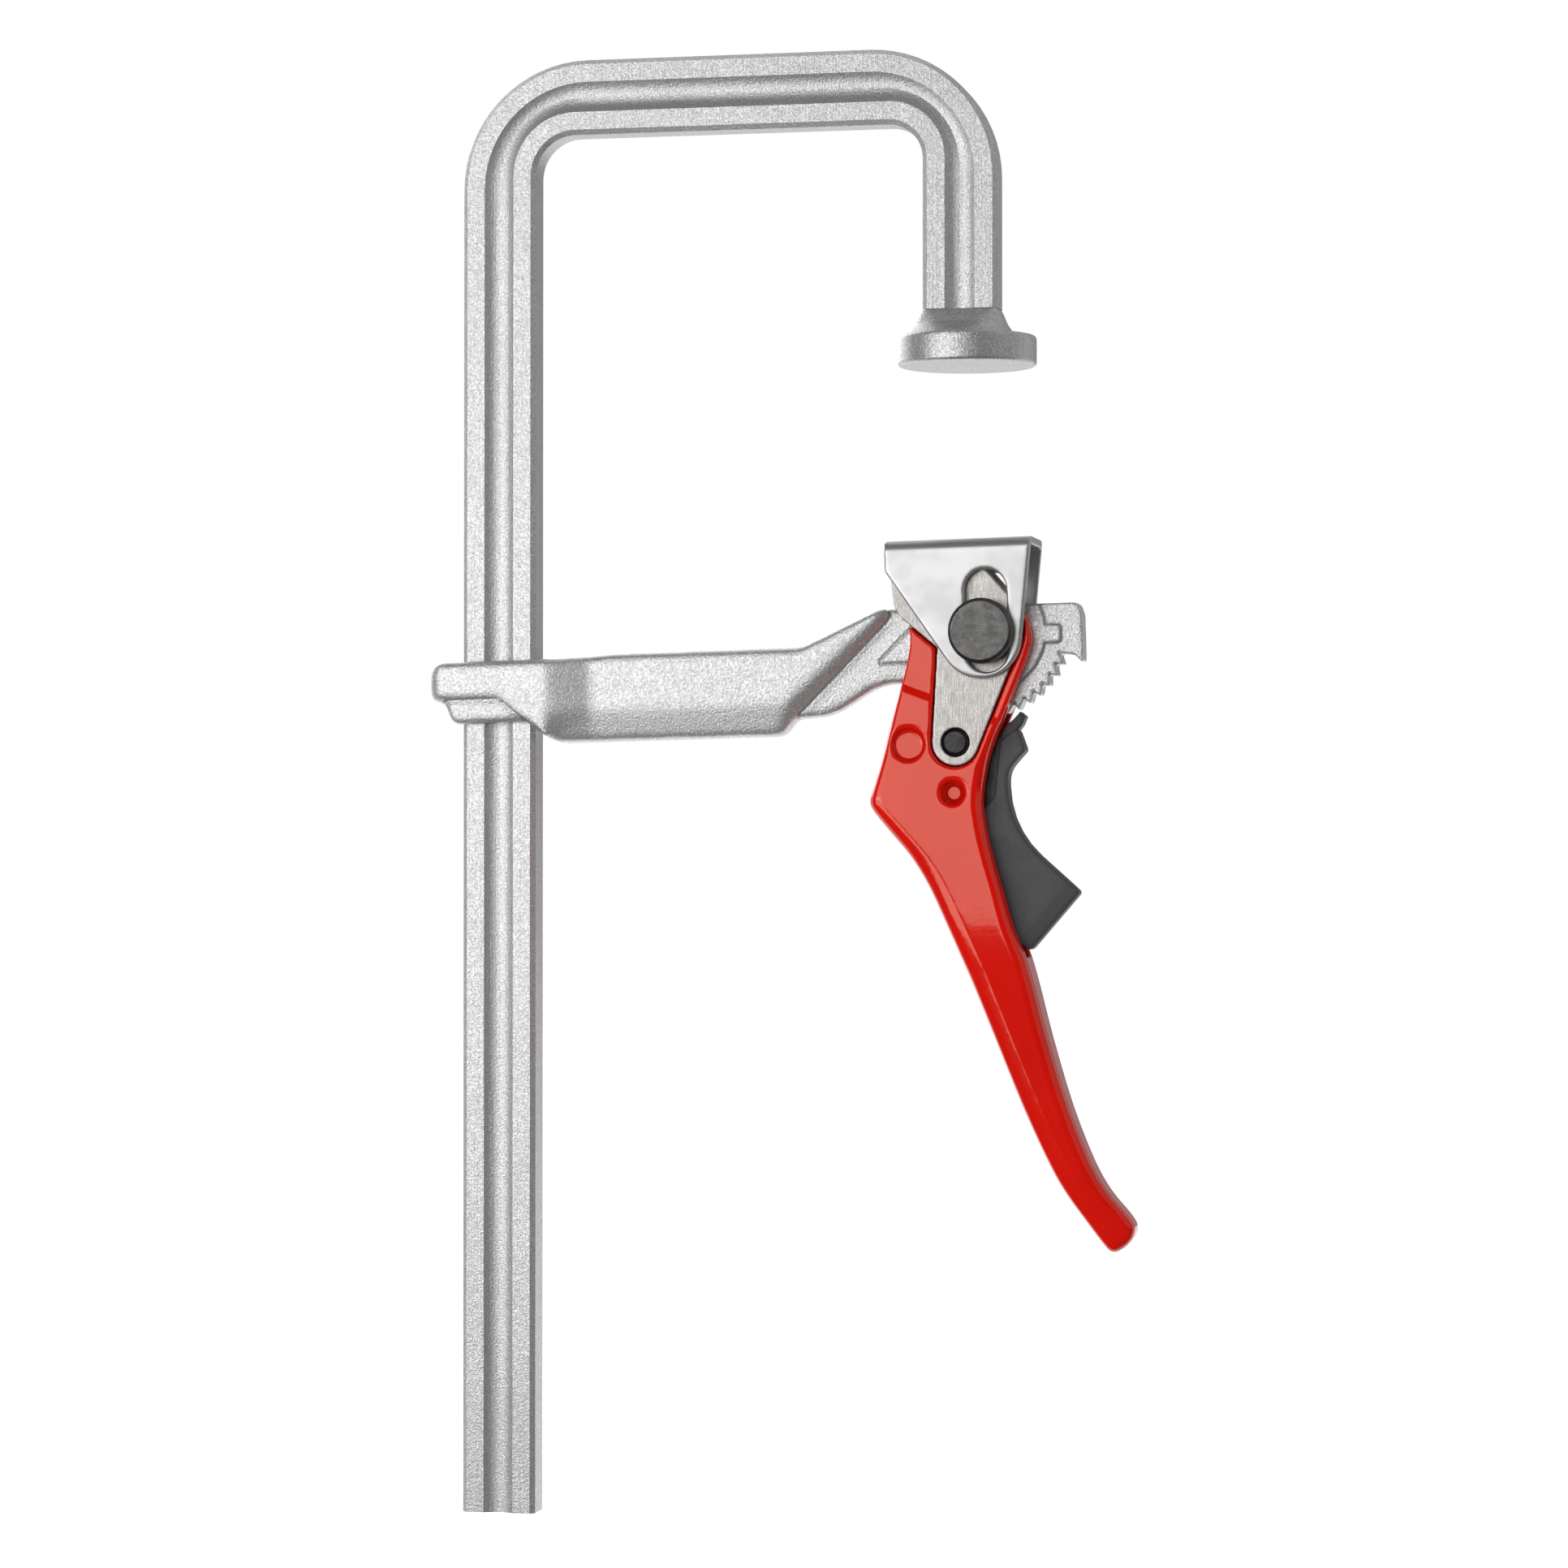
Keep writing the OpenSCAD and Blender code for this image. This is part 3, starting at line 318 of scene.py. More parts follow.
def zinc(name, tone, grain_mm, depth_mm, rough, streak=0.0):
    """tone is the mean grey, streak the share of the rolling lines in the relief."""
    material, tree, shader = finish_of(name, Metallic=ZINC_METALLIC)
    grain = place(tree, grain_group, Fine_size_mm=grain_mm, Cloud_size_mm=16.0, Contrast=2.4)
    wear_and_highlight = place(tree, edge_group, Reach_mm=0.7, Breakup=0.6)
    colour = mix_colour(
        tree, grain["Grain"], grey(tone * DARK_GRAIN), grey(min(tone * BRIGHT_GRAIN, 1.0)))
    colour = wash(tree, colour, grain["Clouds"], 0.25, grey(tone * 0.86, 0.01))
    # painted shade: inward corners darkened towards 0.28 of the tone
    colour = wash(tree, colour, nooks(tree), 0.75, grey(tone * 0.28))
    # edges brightened: partly wear, partly a painted highlight
    colour = wash(tree, colour, wear_and_highlight["Edge"], 0.4, grey(min(tone * 1.1, 1.0)))
    tree.links.new(colour, shader.inputs["Base Color"])
    roughness = remap(tree, grain["Grain"], 0.0, 1.0,
                      rough + ROUGHNESS_SPREAD, rough - ROUGHNESS_SPREAD, smooth=False)
    tree.links.new(roughness, shader.inputs["Roughness"])
    height = grain["Grain"]
    if streak:
        marks = place(tree, streak_group, Across_mm=0.45, Along_mm=60.0, Upright=1.0)
        height = math_node(
            tree, "ADD", height, math_node(tree, "MULTIPLY", marks["Streaks"], streak))
    bump(tree, shader, height, depth_mm)
    return material


zinc_bar = zinc("zinc_on_rolled_bar", 0.545, 0.58, 0.070, 0.32, streak=0.35)
zinc_jaw = zinc("zinc_on_upset_jaw", 0.50, 0.68, 0.082, 0.29)
zinc_forging = zinc("zinc_on_forging", 0.635, 0.66, 0.095, 0.31)
print("zinc finishes:", zinc_bar.name, zinc_jaw.name, zinc_forging.name)

# %% [markdown]
# ## Bright zinc on pressed sheet
# The folded pressure plate is sheet metal with a plated, satin face: much smoother than the
# forging, with faint drawing lines and a few handling marks. The same effects serve, with a
# shallow bump and a low roughness, so that the soft box reads as one pale field across the flange.

# %% Sheet finish
sheet, tree, shader = finish_of("bright_zinc_on_sheet", Metallic=0.78)
grain = place(tree, grain_group, Fine_size_mm=0.6, Cloud_size_mm=9.0, Contrast=0.8)
marks = place(tree, streak_group, Across_mm=0.5, Along_mm=5.0, Upright=0.0)
wear_and_highlight = place(tree, edge_group, Reach_mm=0.7, Breakup=0.3)
colour = mix_colour(tree, grain["Clouds"], grey(0.49), grey(0.45))
colour = wash(tree, colour, marks["Streaks"], 0.10, grey(0.46))
# edges brightened: partly wear, partly a painted highlight
colour = wash(tree, colour, wear_and_highlight["Edge"], 0.2, grey(0.60))
tree.links.new(colour, shader.inputs["Base Color"])
tree.links.new(remap(tree, grain["Clouds"], 0.0, 1.0, 0.30, 0.34), shader.inputs["Roughness"])
lines = math_node(tree, "MULTIPLY", marks["Streaks"], 0.25)
bump(tree, shader, math_node(tree, "ADD", grain["Grain"], lines), 0.012)
print("sheet finish:", sheet.name)

# %% [markdown]
# ## Bare blanked steel
# The two cam plates are stamped from strip and left bare. Their faces are dull and a little warm,
# peppered with fine specks, and their rims catch the light. Strong grain contrast makes the
# specks, and the edge mask brightens the rims: partly wear, partly a painted highlight.

# %% Cam plate finish
blanked, tree, shader = finish_of("bare_blanked_steel", Metallic=1.0)
grain = place(tree, grain_group, Fine_size_mm=0.6, Cloud_size_mm=2.6, Contrast=2.2)
marks = place(tree, streak_group, Across_mm=0.25, Along_mm=6.0, Upright=1.0)
wear_and_highlight = place(tree, edge_group, Reach_mm=0.7, Breakup=0.4)
colour = mix_colour(tree, grain["Grain"], grey(0.44, 0.05), grey(0.72, 0.035))
colour = wash(tree, colour, grain["Clouds"], 0.6, grey(0.46, 0.05))
# rims brightened: partly wear, partly a painted highlight
colour = wash(tree, colour, wear_and_highlight["Edge"], 0.7, grey(0.80, 0.01))
tree.links.new(colour, shader.inputs["Base Color"])
tree.links.new(remap(tree, marks["Streaks"], 0.0, 1.0, 0.42, 0.56), shader.inputs["Roughness"])
bump(tree, shader, math_node(tree, "ADD", grain["Grain"], marks["Streaks"]), 0.018)
print("cam plate finish:", blanked.name)

# %% [markdown]
# ## Dark turned pins
# The pins are hardened steel with a dull, dark skin. Fine marks from turning and use lie on the
# head. The small pin is darker than the main one, so one function makes both from a tone.

# %% Pin finishes
def turned_steel(name, tone):
    material, tree, shader = finish_of(name, Metallic=1.0)
    grain = place(tree, grain_group, Fine_size_mm=0.5, Cloud_size_mm=3.0, Contrast=2.0)
    marks = place(tree, streak_group, Across_mm=0.2, Along_mm=5.0, Upright=0.6)
    wear_and_highlight = place(tree, edge_group, Reach_mm=0.7, Breakup=0.5)
    colour = mix_colour(tree, grain["Clouds"], grey(tone * 0.72, 0.02), grey(tone * 1.28, 0.02))
    colour = wash(tree, colour, marks["Streaks"], 0.35, grey(tone * 1.5, 0.01))
    # edges brightened to three times the tone: partly wear, partly a painted highlight
    colour = wash(tree, colour, wear_and_highlight["Edge"], 0.7, grey(tone * 3.0))
    tree.links.new(colour, shader.inputs["Base Color"])
    tree.links.new(remap(tree, grain["Grain"], 0.0, 1.0, 0.48, 0.34), shader.inputs["Roughness"])
    bump(tree, shader, math_node(tree, "ADD", grain["Grain"], marks["Streaks"]), 0.016)
    return material


dark_pin = turned_steel("dark_turned_steel", 0.115)
black_pin = turned_steel("blackened_turned_steel", 0.045)
print("pin finishes:", dark_pin.name, black_pin.name)

# %% [markdown]
# ## Glossy red paint
# The handle wears a thick powder coat. It flows before it sets, so its surface is glossy but rolls
# gently, like orange peel, and it pulls thin over sharp edges. A plain glossy red would look like
# moulded plastic: a thin clear coat over a saturated base gives the deep colour with the white
# highlights on top, and a warm tint on the lower gloss keeps the pale faces from turning pink.

# %% Paint finishes
PAINT_BASE = (0.570, 0.003, 0.0005, 1)
PAINT_PALE = (0.610, 0.004, 0.001, 1)
PAINT_SPECK = (0.53, 0.003, 0.0005, 1)
# painted shade for the inward corners
PAINT_NOOK_SHADE = (0.28, 0.004, 0.002, 1)
# edge colour: partly thin paint and wear, partly a painted highlight
PAINT_EDGE = (0.68, 0.03, 0.015, 1)
PAINT_GLOSS_TINT = (1.0, 0.88, 0.62, 1.0)


def red_paint(name, ripple_mm):
    """ripple_mm is the spacing of the orange peel."""
    material, tree, shader = finish_of(
        name, Metallic=0.0, Roughness=0.11, Specular_Tint=PAINT_GLOSS_TINT,
        Coat_Weight=0.3, Coat_Roughness=0.03, IOR=1.5)
    ripple = place(tree, grain_group, Fine_size_mm=ripple_mm, Cloud_size_mm=26.0, Contrast=1.0)
    specks = place(tree, grain_group, Fine_size_mm=0.5, Cloud_size_mm=6.0, Contrast=1.0)
    wear_and_highlight = place(tree, edge_group, Reach_mm=0.7, Breakup=0.3)
    colour = mix_colour(tree, ripple["Clouds"], PAINT_BASE, PAINT_PALE)
    colour = wash(tree, colour, specks["Clouds"], 0.2, PAINT_SPECK)
    # painted shade in the inward corners
    colour = wash(tree, colour, nooks(tree), 0.7, PAINT_NOOK_SHADE)
    # edges lighter: partly thin paint and wear, partly a painted highlight
    colour = wash(tree, colour, wear_and_highlight["Edge"], 0.3, PAINT_EDGE)
    tree.links.new(colour, shader.inputs["Base Color"])
    peel = bump(tree, shader, ripple["Grain"], 0.06, strength=0.8)
    bump(tree, shader, specks["Grain"], 0.004, under=peel)
    return material


red_handle = red_paint("glossy_red_paint", 5.0)
red_pin = red_paint("painted_pin_end", 2.0)
print("paint finishes:", red_handle.name, red_pin.name)

# %% [markdown]
# ## Grained black plastic
# The trigger is moulded in a spark eroded mould, which leaves an even, fine grain. The grain is too
# fine and too even to be worth geometry, so it is bump, with a grey that is a little paler on top
# of each grain, where a finger polishes it.

# %% Plastic finish
black_plastic, tree, shader = finish_of("grained_black_plastic", Metallic=0.0, IOR=1.48)
grain = place(tree, grain_group, Fine_size_mm=0.5, Cloud_size_mm=8.0, Contrast=1.4)
wear_and_highlight = place(tree, edge_group, Reach_mm=0.7, Breakup=0.4)
colour = mix_colour(tree, grain["Grain"], grey(0.040), grey(0.062))
# edges lighter: partly wear, partly a painted highlight
colour = wash(tree, colour, wear_and_highlight["Edge"], 0.5, grey(0.09))
tree.links.new(colour, shader.inputs["Base Color"])
tree.links.new(remap(tree, grain["Clouds"], 0.0, 1.0, 0.50, 0.60), shader.inputs["Roughness"])
bump(tree, shader, grain["Grain"], 0.035)
print("plastic finish:", black_plastic.name)

# %% [markdown]
# ## Blackened steel
# The pawl beside the trigger is hardened and blackened. It is as dark as the plastic, but it keeps
# a dull metallic shine, and its working edges have lost their colour; their brightening is partly
# that wear and partly a painted highlight.

# %% Pawl finish
black_steel, tree, shader = finish_of("blackened_steel", Metallic=0.4)
grain = place(tree, grain_group, Fine_size_mm=0.4, Cloud_size_mm=4.0, Contrast=1.4)
marks = place(tree, streak_group, Across_mm=0.25, Along_mm=6.0, Upright=1.0)
wear_and_highlight = place(tree, edge_group, Reach_mm=0.7, Breakup=0.5)
colour = mix_colour(tree, grain["Clouds"], grey(0.020), grey(0.038))
# edges brightened: partly wear, partly a painted highlight
colour = wash(tree, colour, wear_and_highlight["Edge"], 0.8, grey(0.30))
tree.links.new(colour, shader.inputs["Base Color"])
tree.links.new(remap(tree, marks["Streaks"], 0.0, 1.0, 0.38, 0.52), shader.inputs["Roughness"])
bump(tree, shader, grain["Grain"], 0.015)
print("pawl finish:", black_steel.name)

# %% [markdown]
# ## Spring wire
# The pawl spring is drawn wire, bright along its turns with a slightly oily darkness. It hides in
# the handle, so clouds of tone and a fine bump are enough.

# %% Wire finish
wire, tree, shader = finish_of("drawn_spring_wire", Metallic=1.0)
grain = place(tree, grain_group, Fine_size_mm=0.3, Cloud_size_mm=2.0, Contrast=1.2)
colour = mix_colour(tree, grain["Clouds"], grey(0.34), grey(0.50, 0.02))
tree.links.new(colour, shader.inputs["Base Color"])
tree.links.new(remap(tree, grain["Grain"], 0.0, 1.0, 0.28, 0.40), shader.inputs["Roughness"])
bump(tree, shader, grain["Grain"], 0.005)
print("wire finish:", wire.name)

# %% [markdown]
# ## Dress the pieces
# Each piece takes its finish by replacing its material slots. The table also names the body that a
# piece rides on and the record's slot for its finish, for the pieces that get a softened copy
# below. Faces are shaded smooth, and an angle keeps the true edges sharp.

# %% Assign the finishes
SHARP_ANGLE = math.radians(26)
FINISHES = {
    "rail": (zinc_bar, "frame", "rail"),
    "fixed_jaw": (zinc_jaw, "frame", "fixed_jaw"),
    "sliding_arm": (zinc_forging, "arm", "sliding_arm"),
    "main_pin": (dark_pin, "arm", "pins"),
    "pressure_plate": (sheet, "plate", "pressure_plate"),
    "cam_pin": (black_pin, "lever", "pins"),
    "cam_plate_front": (blanked, "lever", "cam_plates"),
    "cam_plate_rear": (blanked, "lever", "cam_plates"),
    "handle": (red_handle, "lever", "handle"),
    "trigger_pin": (red_pin, "lever", "trigger_pin"),
    "pawl_spring": (wire, "lever", "pawl_spring"),
    "trigger": (black_plastic, "release", "trigger"),
    "pawl": (black_steel, "release", "pawl"),
}
for name, (material, _, _) in FINISHES.items():
    mesh = nodes[name].data
    mesh.materials.clear()
    mesh.materials.append(material)
    mesh.polygons.foreach_set("use_smooth", [True] * len(mesh.polygons))
    mesh.set_sharp_from_angle(angle=SHARP_ANGLE)
print(len(FINISHES), "pieces dressed")

# %% [markdown]
# ## Softened forgings and mouldings
# A forging leaves its die with rounded edges, blasting rounds them further, and powder paint rolls
# over every corner. The CAD solids have crisp facets. Bevelling dozens of odd edges by hand would
# be slow, so each of these pieces is poured again: its solid is filled with small cubes, a skin is
# drawn over them, and the skin is relaxed a few times, which rounds each edge by about a voxel or
# two. These two helpers bake a modifier into the mesh and relax a skin, wholly or by weights.

# %% Relaxing helpers
def settle(piece):
    """Makes what the modifiers show into the piece's own mesh."""
    bpy.context.view_layer.update()
    shaped = bpy.data.meshes.new_from_object(
        piece.evaluated_get(bpy.context.evaluated_depsgraph_get()))
    piece.modifiers.clear()
    piece.data = shaped


def relax(piece, rounds, weights=None):
    """Smooths the mesh. weights holds one share for each point, or all move alike."""
    easing = piece.modifiers.new("relax", "SMOOTH")
    easing.factor = 0.5
    easing.iterations = rounds
    if weights is not None:
        group = piece.vertex_groups.new(name="relaxed")
        for index, weight in enumerate(weights):
            if weight > 0:
                group.add([index], weight, "REPLACE")
        easing.vertex_group = group.name
    settle(piece)


print("relaxing helpers ready")

# %% [markdown]
# ## The collar's slanting flank
# The arm's collar doesn't end in a square step: its face runs down to the bar's foot in a low,
# slanting flank on both sides. It is a wedge with a triangle for its outline, added to a copy of
# the arm before the skin is drawn, so that the skin joins the two without a seam.

# %% Flank
FLANK = [(-152.4, -103.0), (-135.3, -102.0), (-134.6, -117.4)]
FLANK_HALF = 10.9
FLANK_FOOT = 9.7
COVERED_LEFT, COVERED_RIGHT = 1.0, 0.8
COVERED_BELOW, COVERED_ABOVE = 0.3, 2.5


def add_flank(mesh):
    """Adds the wedge. Corners are in millimetres, seen from the front."""
    solid = bmesh.new()
    solid.from_mesh(mesh)
    front, back = ([solid.verts.new(Vector((x, side * FLANK_HALF, z)) * MM) for x, z in FLANK]
                   for side in (-1, 1))
    solid.faces.new(front)
    solid.faces.new(back[::-1])
    for i in range(len(FLANK)):
        k = (i + 1) % len(FLANK)
        solid.faces.new((front[k], front[i], back[i], back[k]))
    solid.to_mesh(mesh)
    solid.free()


def under_flank(point):
    """True where the wedge covers an inward edge of the solid."""
    x, z = point.x / MM, point.z / MM
    (left, top), _, (right, foot) = FLANK
    slant = top + (foot - top) * (x - left) / (right - left)
    return (left + COVERED_LEFT < x < right + COVERED_RIGHT
            and slant - COVERED_BELOW < z < top + COVERED_ABOVE)


print("flank:", len(FLANK), "corners,", 2 * FLANK_HALF, "mm across")

# %% [markdown]
# ## Inward edges
# Shade gathers where two faces meet inwards, and the panel lines on the arm's web read as dark
# strokes for that reason; the finishes paint that shade into their colour. Each solid knows its own
# inward edges: both faces turn towards each other there, and the edge is sampled as a row of
# points.
# The wedge's foot is drawn from given corners, because the solid doesn't have it.

# %% Inward points
NOOK_ANGLE = math.radians(25)
NOOK_STEP = 0.2 * MM
WELD = 0.001 * MM
FLANK_STEPS = 100
FLANK_STEPS_USED = 86


def inward_points(mesh):
    """Points along the edges where a solid's faces meet inwards."""
    solid = bmesh.new()
    solid.from_mesh(mesh)
    bmesh.ops.remove_doubles(solid, verts=solid.verts, dist=WELD)
    points = []
    for edge in solid.edges:
        joined = len(edge.link_faces) == 2 and not edge.is_convex
        if joined and edge.calc_face_angle() > NOOK_ANGLE:
            start, end = (corner.co.copy() for corner in edge.verts)
            count = int((end - start).length / NOOK_STEP) + 1
            points += [start.lerp(end, i / count) for i in range(count + 1)]
    solid.free()
    return points


def flank_points():
    """Points along the wedge's own foot, on both sides."""
    points = []
    for side in (-1, 1):
        start, end = (
            Vector((x, side * FLANK_FOOT, z)) * MM for x, z in (FLANK[0], FLANK[2]))
        points += [start.lerp(end, i / FLANK_STEPS) for i in range(FLANK_STEPS_USED)]
    return points


print("points on the wedge's foot:", len(flank_points()))

# %% [markdown]
# ## Nooks on the skin
# Every point of a softened skin measures how near the next inward edge is, with a tree that finds
# it quickly, and stores the answer for the finishes, which paint shade with it. The arm's lines are
# also cut a little deeper into the skin, because the relaxing has filled them.

# %% Nooks
NOOK_REACH = 0.75 * MM
CARVED = {"sliding_arm": 0.30 * MM}


def mark_nooks(piece, name):
    """Writes each point's nearness to an inward edge, a mask for painted shade, and carves where
    asked.
    """
    points = inward_points(nodes[name].data)
    if name == "sliding_arm":
        points = [point for point in points if not under_flank(point)] + flank_points()
    tree = kdtree.KDTree(len(points))
    for index, point in enumerate(points):
        tree.insert(point, index)
    tree.balance()
    values = [0.0] * len(piece.data.vertices)
    if points:
        for index, point in enumerate(piece.data.vertices):
            distance = tree.find(point.co)[2]
            values[index] = max(0.0, 1.0 - (distance / NOOK_REACH) ** 2)
    depth = CARVED.get(name, 0.0)
    if depth:
        inwards = [point.normal * -depth for point in piece.data.vertices]
        for point, step, value in zip(piece.data.vertices, inwards, values):
            point.co += step * value
    piece.data.attributes.new(NOOK_SHADE_ATTRIBUTE, "FLOAT", "POINT").data.foreach_set("value", values)


print("nooks reach", NOOK_REACH / MM, "mm")

# %% [markdown]
# ## How far each skin is relaxed
# Voxel size and relaxing rounds are chosen per piece: the small machined ones stay crisp, the
# castings flow. The arm is relaxed much longer where it was only forged, and stays crisp at the
# machined teeth. The folded plate is relaxed further on its outside only, because its inside
# clears the cams by a hair.

# %% Skins
SKINS = {
    "sliding_arm": (0.45, 5),
    "fixed_jaw": (0.45, 10),
    "handle": (0.50, 8),
    "trigger": (0.40, 6),
    "pawl": (0.35, 4),
    "pressure_plate": (0.30, 14),
    "cam_plate_front": (0.30, 3),
    "cam_plate_rear": (0.30, 3),
    "main_pin": (0.25, 5),
    "cam_pin": (0.20, 3),
}
FORGED_ROUNDS = 110
FORGED_UP_TO = -0.012
CRISP_FROM = 0.006
SHEET_ROUNDS = 34
SHEET_OUTSIDE = 0.0118


def forged_share(point):
    """1 where the arm was only forged, falling to 0 at its machined teeth."""
    return min(max((CRISP_FROM - point.co.x) / (CRISP_FROM - FORGED_UP_TO), 0), 1)


def sheet_share(point):
    """1 on the outside of the folded plate's flanges, else 0."""
    return float(abs(point.co.y) > SHEET_OUTSIDE)


FURTHER = {
    "sliding_arm": (FORGED_ROUNDS, forged_share),
    "pressure_plate": (SHEET_ROUNDS, sheet_share),
}
print(len(SKINS), "skins,", len(FURTHER), "of them relaxed further")

# %% [markdown]
# ## Pour the pieces again
# Each skin takes its solid's place in the picture: it wears the same finish and rides on the same
# body. Only the hidden spring, the trigger's small pin and the bar keep the solid's own mesh. No
# point of a skin may leave the box of its solid.

# %% Softened pieces
def softened(name, voxel_mm, rounds):
    material, body, slot_name = FINISHES[name]
    piece = bpy.data.objects.new(name + "_softened", nodes[name].data.copy())
    scene.collection.objects.link(piece)
    if name == "sliding_arm":
        add_flank(piece.data)
    skin = piece.modifiers.new("voxel_skin", "REMESH")
    skin.mode = "VOXEL"
    skin.voxel_size = voxel_mm * MM
    settle(piece)
    relax(piece, rounds)
    if name in FURTHER:
        more, share = FURTHER[name]
        relax(piece, more, [share(point) for point in piece.data.vertices])
    piece.vertex_groups.clear()
    mark_nooks(piece, name)
    low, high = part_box(name)
    for point in piece.data.vertices:
        point.co = [min(max(c, l), h) for c, l, h in zip(point.co, low, high)]
    piece.data.materials.clear()
    piece.data.materials.append(material)
    piece.data.polygons.foreach_set("use_smooth", [True] * len(piece.data.polygons))
    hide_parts(name)
    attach(piece, body)
    return piece


for name, (voxel_mm, rounds) in SKINS.items():
    piece = softened(name, voxel_mm, rounds)
    print(f"{piece.name}: {len(piece.data.polygons)} faces")

# %% [markdown]
# ## Rounded edges on the rolled bar
# The bar's edges run its whole length, all alike, so a bevel does them and no skin is needed: flat
# facets are joined, each sharp edge becomes a narrow round, and weighted normals keep the flats
# flat.

# %% Bar edges
FACET_ANGLE = math.radians(0.5)
BAR_ROUND = 0.7 * MM

rail = nodes["rail"]
join_flats = rail.modifiers.new("join_flats", "DECIMATE")
join_flats.decimate_type = "DISSOLVE"
join_flats.angle_limit = FACET_ANGLE
rounding = rail.modifiers.new("rounding", "BEVEL")
rounding.width = BAR_ROUND
rounding.segments = 3
rounding.limit_method = "ANGLE"
rounding.angle_limit = SHARP_ANGLE
rounding.miter_outer = "MITER_ARC"
flats = rail.modifiers.new("weighted_normals", "WEIGHTED_NORMAL")
flats.keep_sharp = False
print("modifiers on the rail:", ", ".join(modifier.name for modifier in rail.modifiers))

# %% [markdown]
# ## The floor
# Silver is all reflection, so the room matters as much as the metal. The photograph looks lit by
# one big soft box beside the camera, in front of plain white. A pale floor carries the shadow, and
# it glows as well for the rays that look straight at it or mirror it, which turns it white. The
# clamp floats above it, as it floats on white in the photograph, and its arm has room to slide.

# %% Floor
FLOOR_HALF = 9.0
FLOOR_DROP = 0.22
FLOOR_GLOW = 0.62

low, high = (Vector(corner) for corner in cad_box)
middle = (low + high) / 2
floor_level = low.z - FLOOR_DROP


def white_when_seen(tree):
    """1 for camera, glossy and transmission rays, else 0."""
    path = add(tree, "ShaderNodeLightPath").outputs
    seen = math_node(tree, "MAXIMUM", path["Is Camera Ray"], path["Is Glossy Ray"])
    return math_node(tree, "MAXIMUM", seen, path["Is Transmission Ray"])


def stage_mesh(name, points, faces, material):
    mesh = bpy.data.meshes.new(name)
    mesh.from_pydata(points, [], faces)
    mesh.materials.append(material)
    piece = bpy.data.objects.new(name, mesh)
    scene.collection.objects.link(piece)
    return piece


floor_finish, tree, shader = finish_of("pale_floor", Roughness=0.9, Specular_IOR_Level=0.0)
clouds = add(tree, "ShaderNodeTexNoise", {"Scale": 3.0, "Detail": 1.0}).outputs["Fac"]
tree.links.new(mix_colour(tree, clouds, grey(0.80), grey(0.84)), shader.inputs["Base Color"])
glow = add(tree, "ShaderNodeEmission", {"Color": grey(1.0), "Strength": FLOOR_GLOW})
lit = add(tree, "ShaderNodeAddShader", {0: shader.outputs[0], 1: glow.outputs[0]})
pick = add(tree, "ShaderNodeMixShader", {
    0: white_when_seen(tree), 1: shader.outputs[0], 2: lit.outputs[0]})
tree.links.new(pick.outputs[0], tree.nodes["Material Output"].inputs["Surface"])
floor_corners = [(x, y, floor_level) for x, y in (
    (-FLOOR_HALF, -FLOOR_HALF), (FLOOR_HALF, -FLOOR_HALF),
    (FLOOR_HALF, FLOOR_HALF), (-FLOOR_HALF, FLOOR_HALF))]
stage_mesh("floor", floor_corners, [(0, 1, 2, 3)], floor_finish)
print(f"floor at {floor_level:.3f} m")

# %% [markdown]
# ## The white room
# The room does for the background what the floor does below: a soft grey fill for the light that
# bounces about, and pure white wherever it is seen or mirrored. An empty studio built from walls
# would do the same with more noise.

# %% Room
ROOM_GLOW = 0.58

world = bpy.data.worlds.new("white_room")
world.use_nodes = True
scene.world = world
tree = world.node_tree
plain = tree.nodes["Background"]
plain.inputs["Color"].default_value = grey(1.0)
plain.inputs["Strength"].default_value = ROOM_GLOW
white = add(tree, "ShaderNodeBackground", {"Color": grey(1.0), "Strength": 1.0})
pick = add(tree, "ShaderNodeMixShader", {
    0: white_when_seen(tree), 1: plain.outputs[0], 2: white.outputs[0]})
tree.links.new(pick.outputs[0], tree.nodes["World Output"].inputs["Surface"])
print("room glows at", ROOM_GLOW)

# %% [markdown]
# ## Soft boxes
# A soft box is an area lamp. Its power is worked out from the brightness that its face shows in a
# mirror, because that is what the eye reads off metal and paint. The big one stands left of the
# camera, a low strip beside it lifts the lower end of the bar, and one more lights the back.

# %% Lamps
def direction(azimuth, elevation):
    """Azimuth is counted from the front, towards the right."""
    turn, lift = math.radians(azimuth), math.radians(elevation)
    return Vector((
        math.sin(turn) * math.cos(lift), -math.cos(turn) * math.cos(lift), math.sin(lift)))


def soft_box(name, azimuth, elevation, distance, size, radiance):
    data = bpy.data.lights.new(name, "AREA")
    data.shape = "RECTANGLE"
    data.size, data.size_y = size
    data.energy = radiance * math.pi * size[0] * size[1]
    lamp = bpy.data.objects.new(name, data)
    away = direction(azimuth, elevation)
    lamp.location = middle + away * distance
    lamp.rotation_euler = (-away).to_track_quat("-Z", "Y").to_euler()
    lamp.visible_camera = False
    scene.collection.objects.link(lamp)
    print(f"{name}: {data.energy:.1f} W")


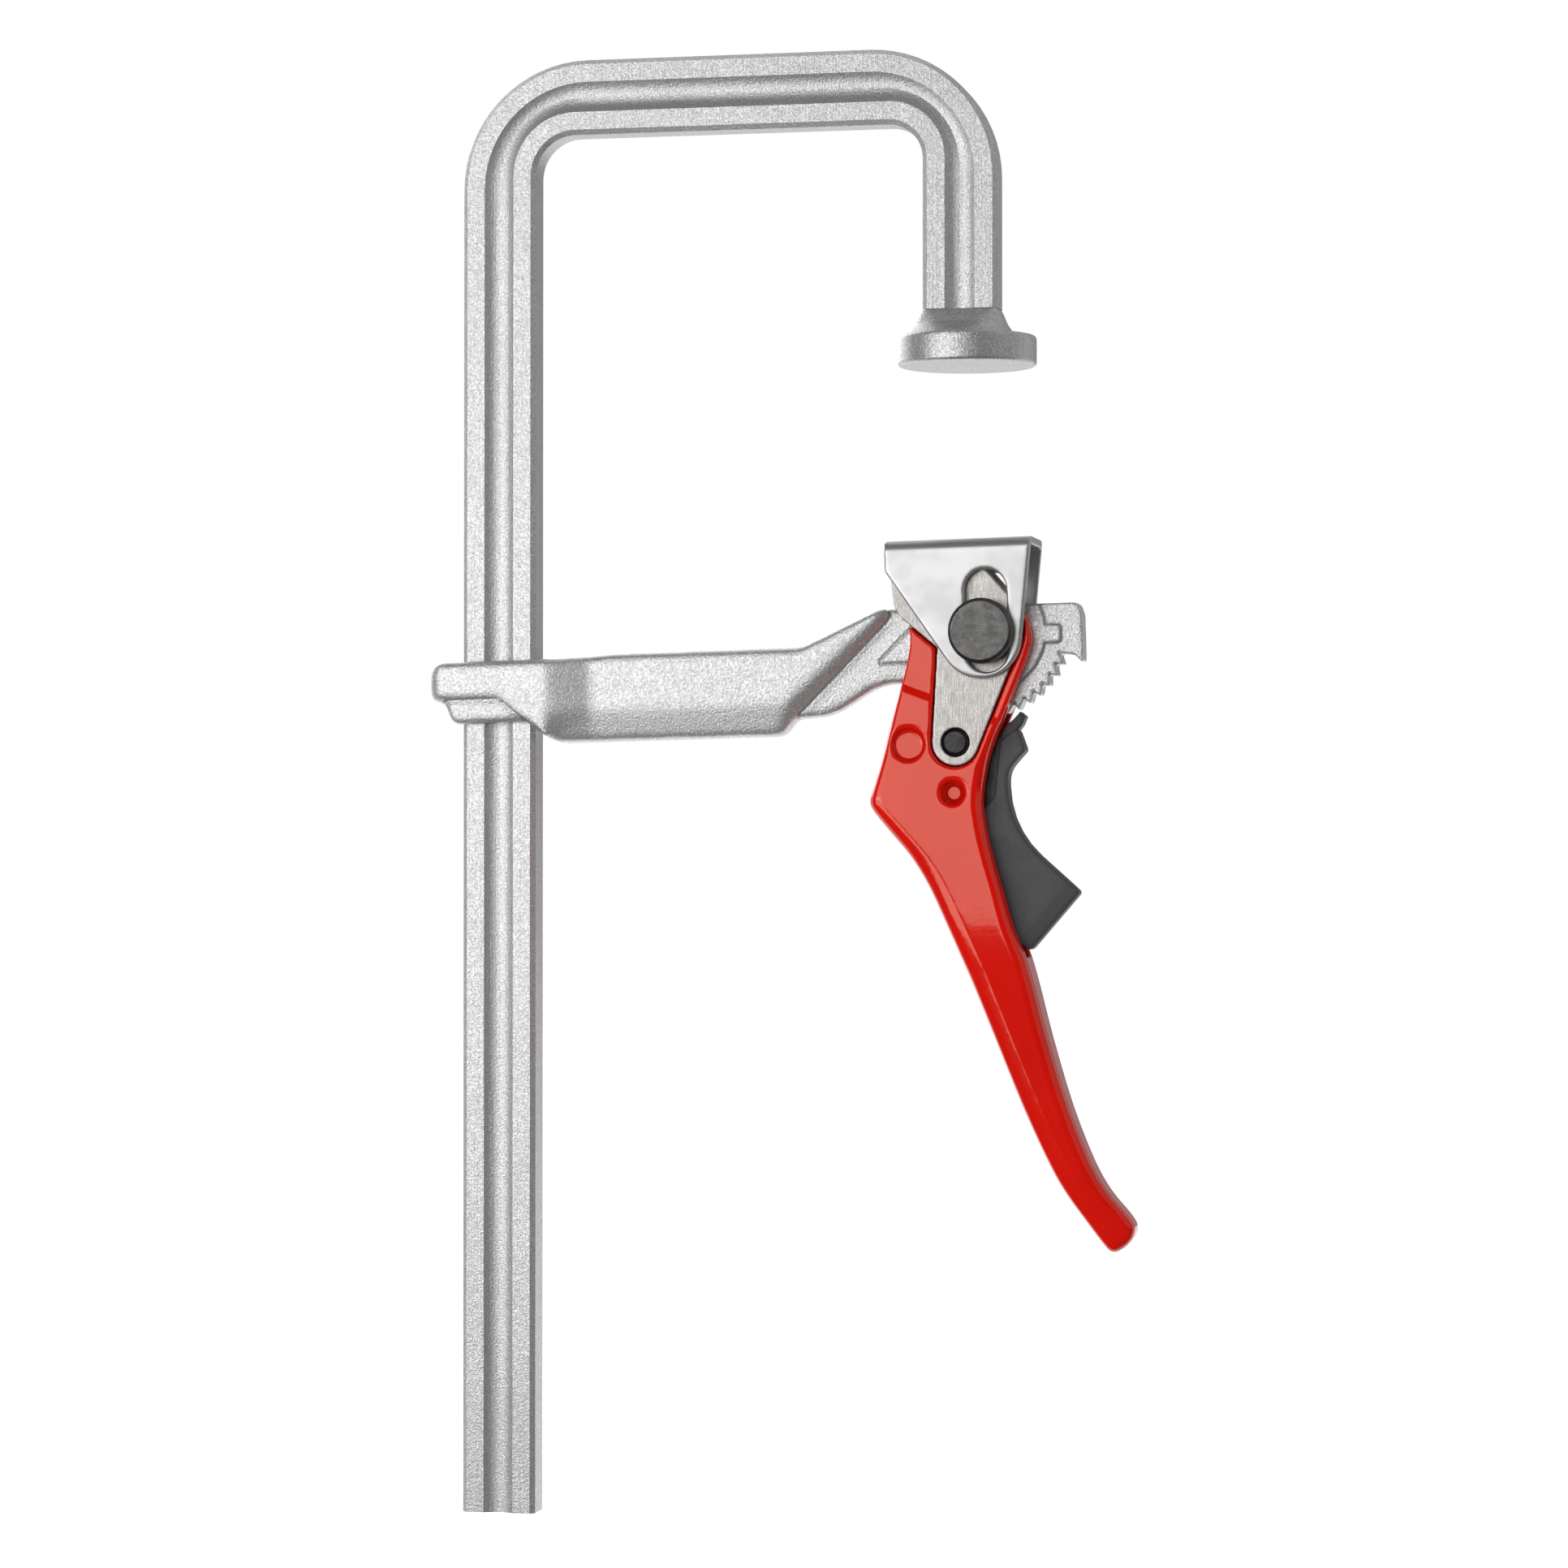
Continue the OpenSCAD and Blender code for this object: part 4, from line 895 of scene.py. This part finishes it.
soft_box("front_soft_box", -24, 11, 1.9, (2.0, 0.96), 2.55)
soft_box("low_strip_box", -34, -7, 1.2, (0.80, 0.34), 2.9)
soft_box("rear_soft_box", 215, 25, 2.2, (1.8, 1.4), 1.6)

# %% [markdown]
# ## Dark cloths
# Round the soft boxes hangs dark cloth, as in any studio that photographs steel: without something
# dark to mirror, silver looks like paper. Flat sheets would leave gaps between them, so the cloths
# are parts of one dome, cut off just above the floor, and only reflections see them.

# %% Cloths
CLOTH_RADIUS = 2.6
CLOTH_LIFT = 0.0004
CLOTH_STEPS = 16


def cloth(name, tone, azimuths, elevations):
    """A patch of the dome between two azimuths and two elevations, in degrees."""
    material, tree, _ = finish_of(name)
    # Each cloth is not lit but glows at its tone: the glow stands in for the light a lit cloth
    # sends back.
    glow = add(tree, "ShaderNodeEmission", {"Color": grey(tone), "Strength": 1.0})
    tree.links.new(glow.outputs[0], tree.nodes["Material Output"].inputs["Surface"])
    steps = CLOTH_STEPS
    points, faces = [], []
    for i in range(steps + 1):
        for k in range(steps + 1):
            azimuth = azimuths[0] + (azimuths[1] - azimuths[0]) * i / steps
            elevation = elevations[0] + (elevations[1] - elevations[0]) * k / steps
            ray = direction(azimuth, elevation)
            reach = CLOTH_RADIUS
            if ray.z < 0:
                reach = min(reach, (floor_level + CLOTH_LIFT - middle.z) / ray.z)
            points.append(middle + ray * reach)
    for i in range(steps):
        for k in range(steps):
            a = i * (steps + 1) + k
            faces.append((a, a + 1, a + steps + 2, a + steps + 1))
    piece = stage_mesh(name, points, faces, material)
    piece.visible_camera = False
    piece.visible_diffuse = False
    piece.visible_shadow = False
    piece.visible_transmission = False
    print(f"{name}: {len(faces)} faces")


cloth("front_cloth", 0.05, (-105, 45), (-4, 80))
cloth("side_cloth", 0.45, (45, 128), (-4, 80))
cloth("rear_cloth", 0.34, (140, 200), (-4, 60))
cloth("floor_cloth", 0.06, (-105, 105), (-88, -4))

# %% [markdown]
# ## Close up
# The CAD model's box is printed. The dressed model may not outgrow the CAD model.

# %% Sizes and finish
print("cad box   ", cad_box)
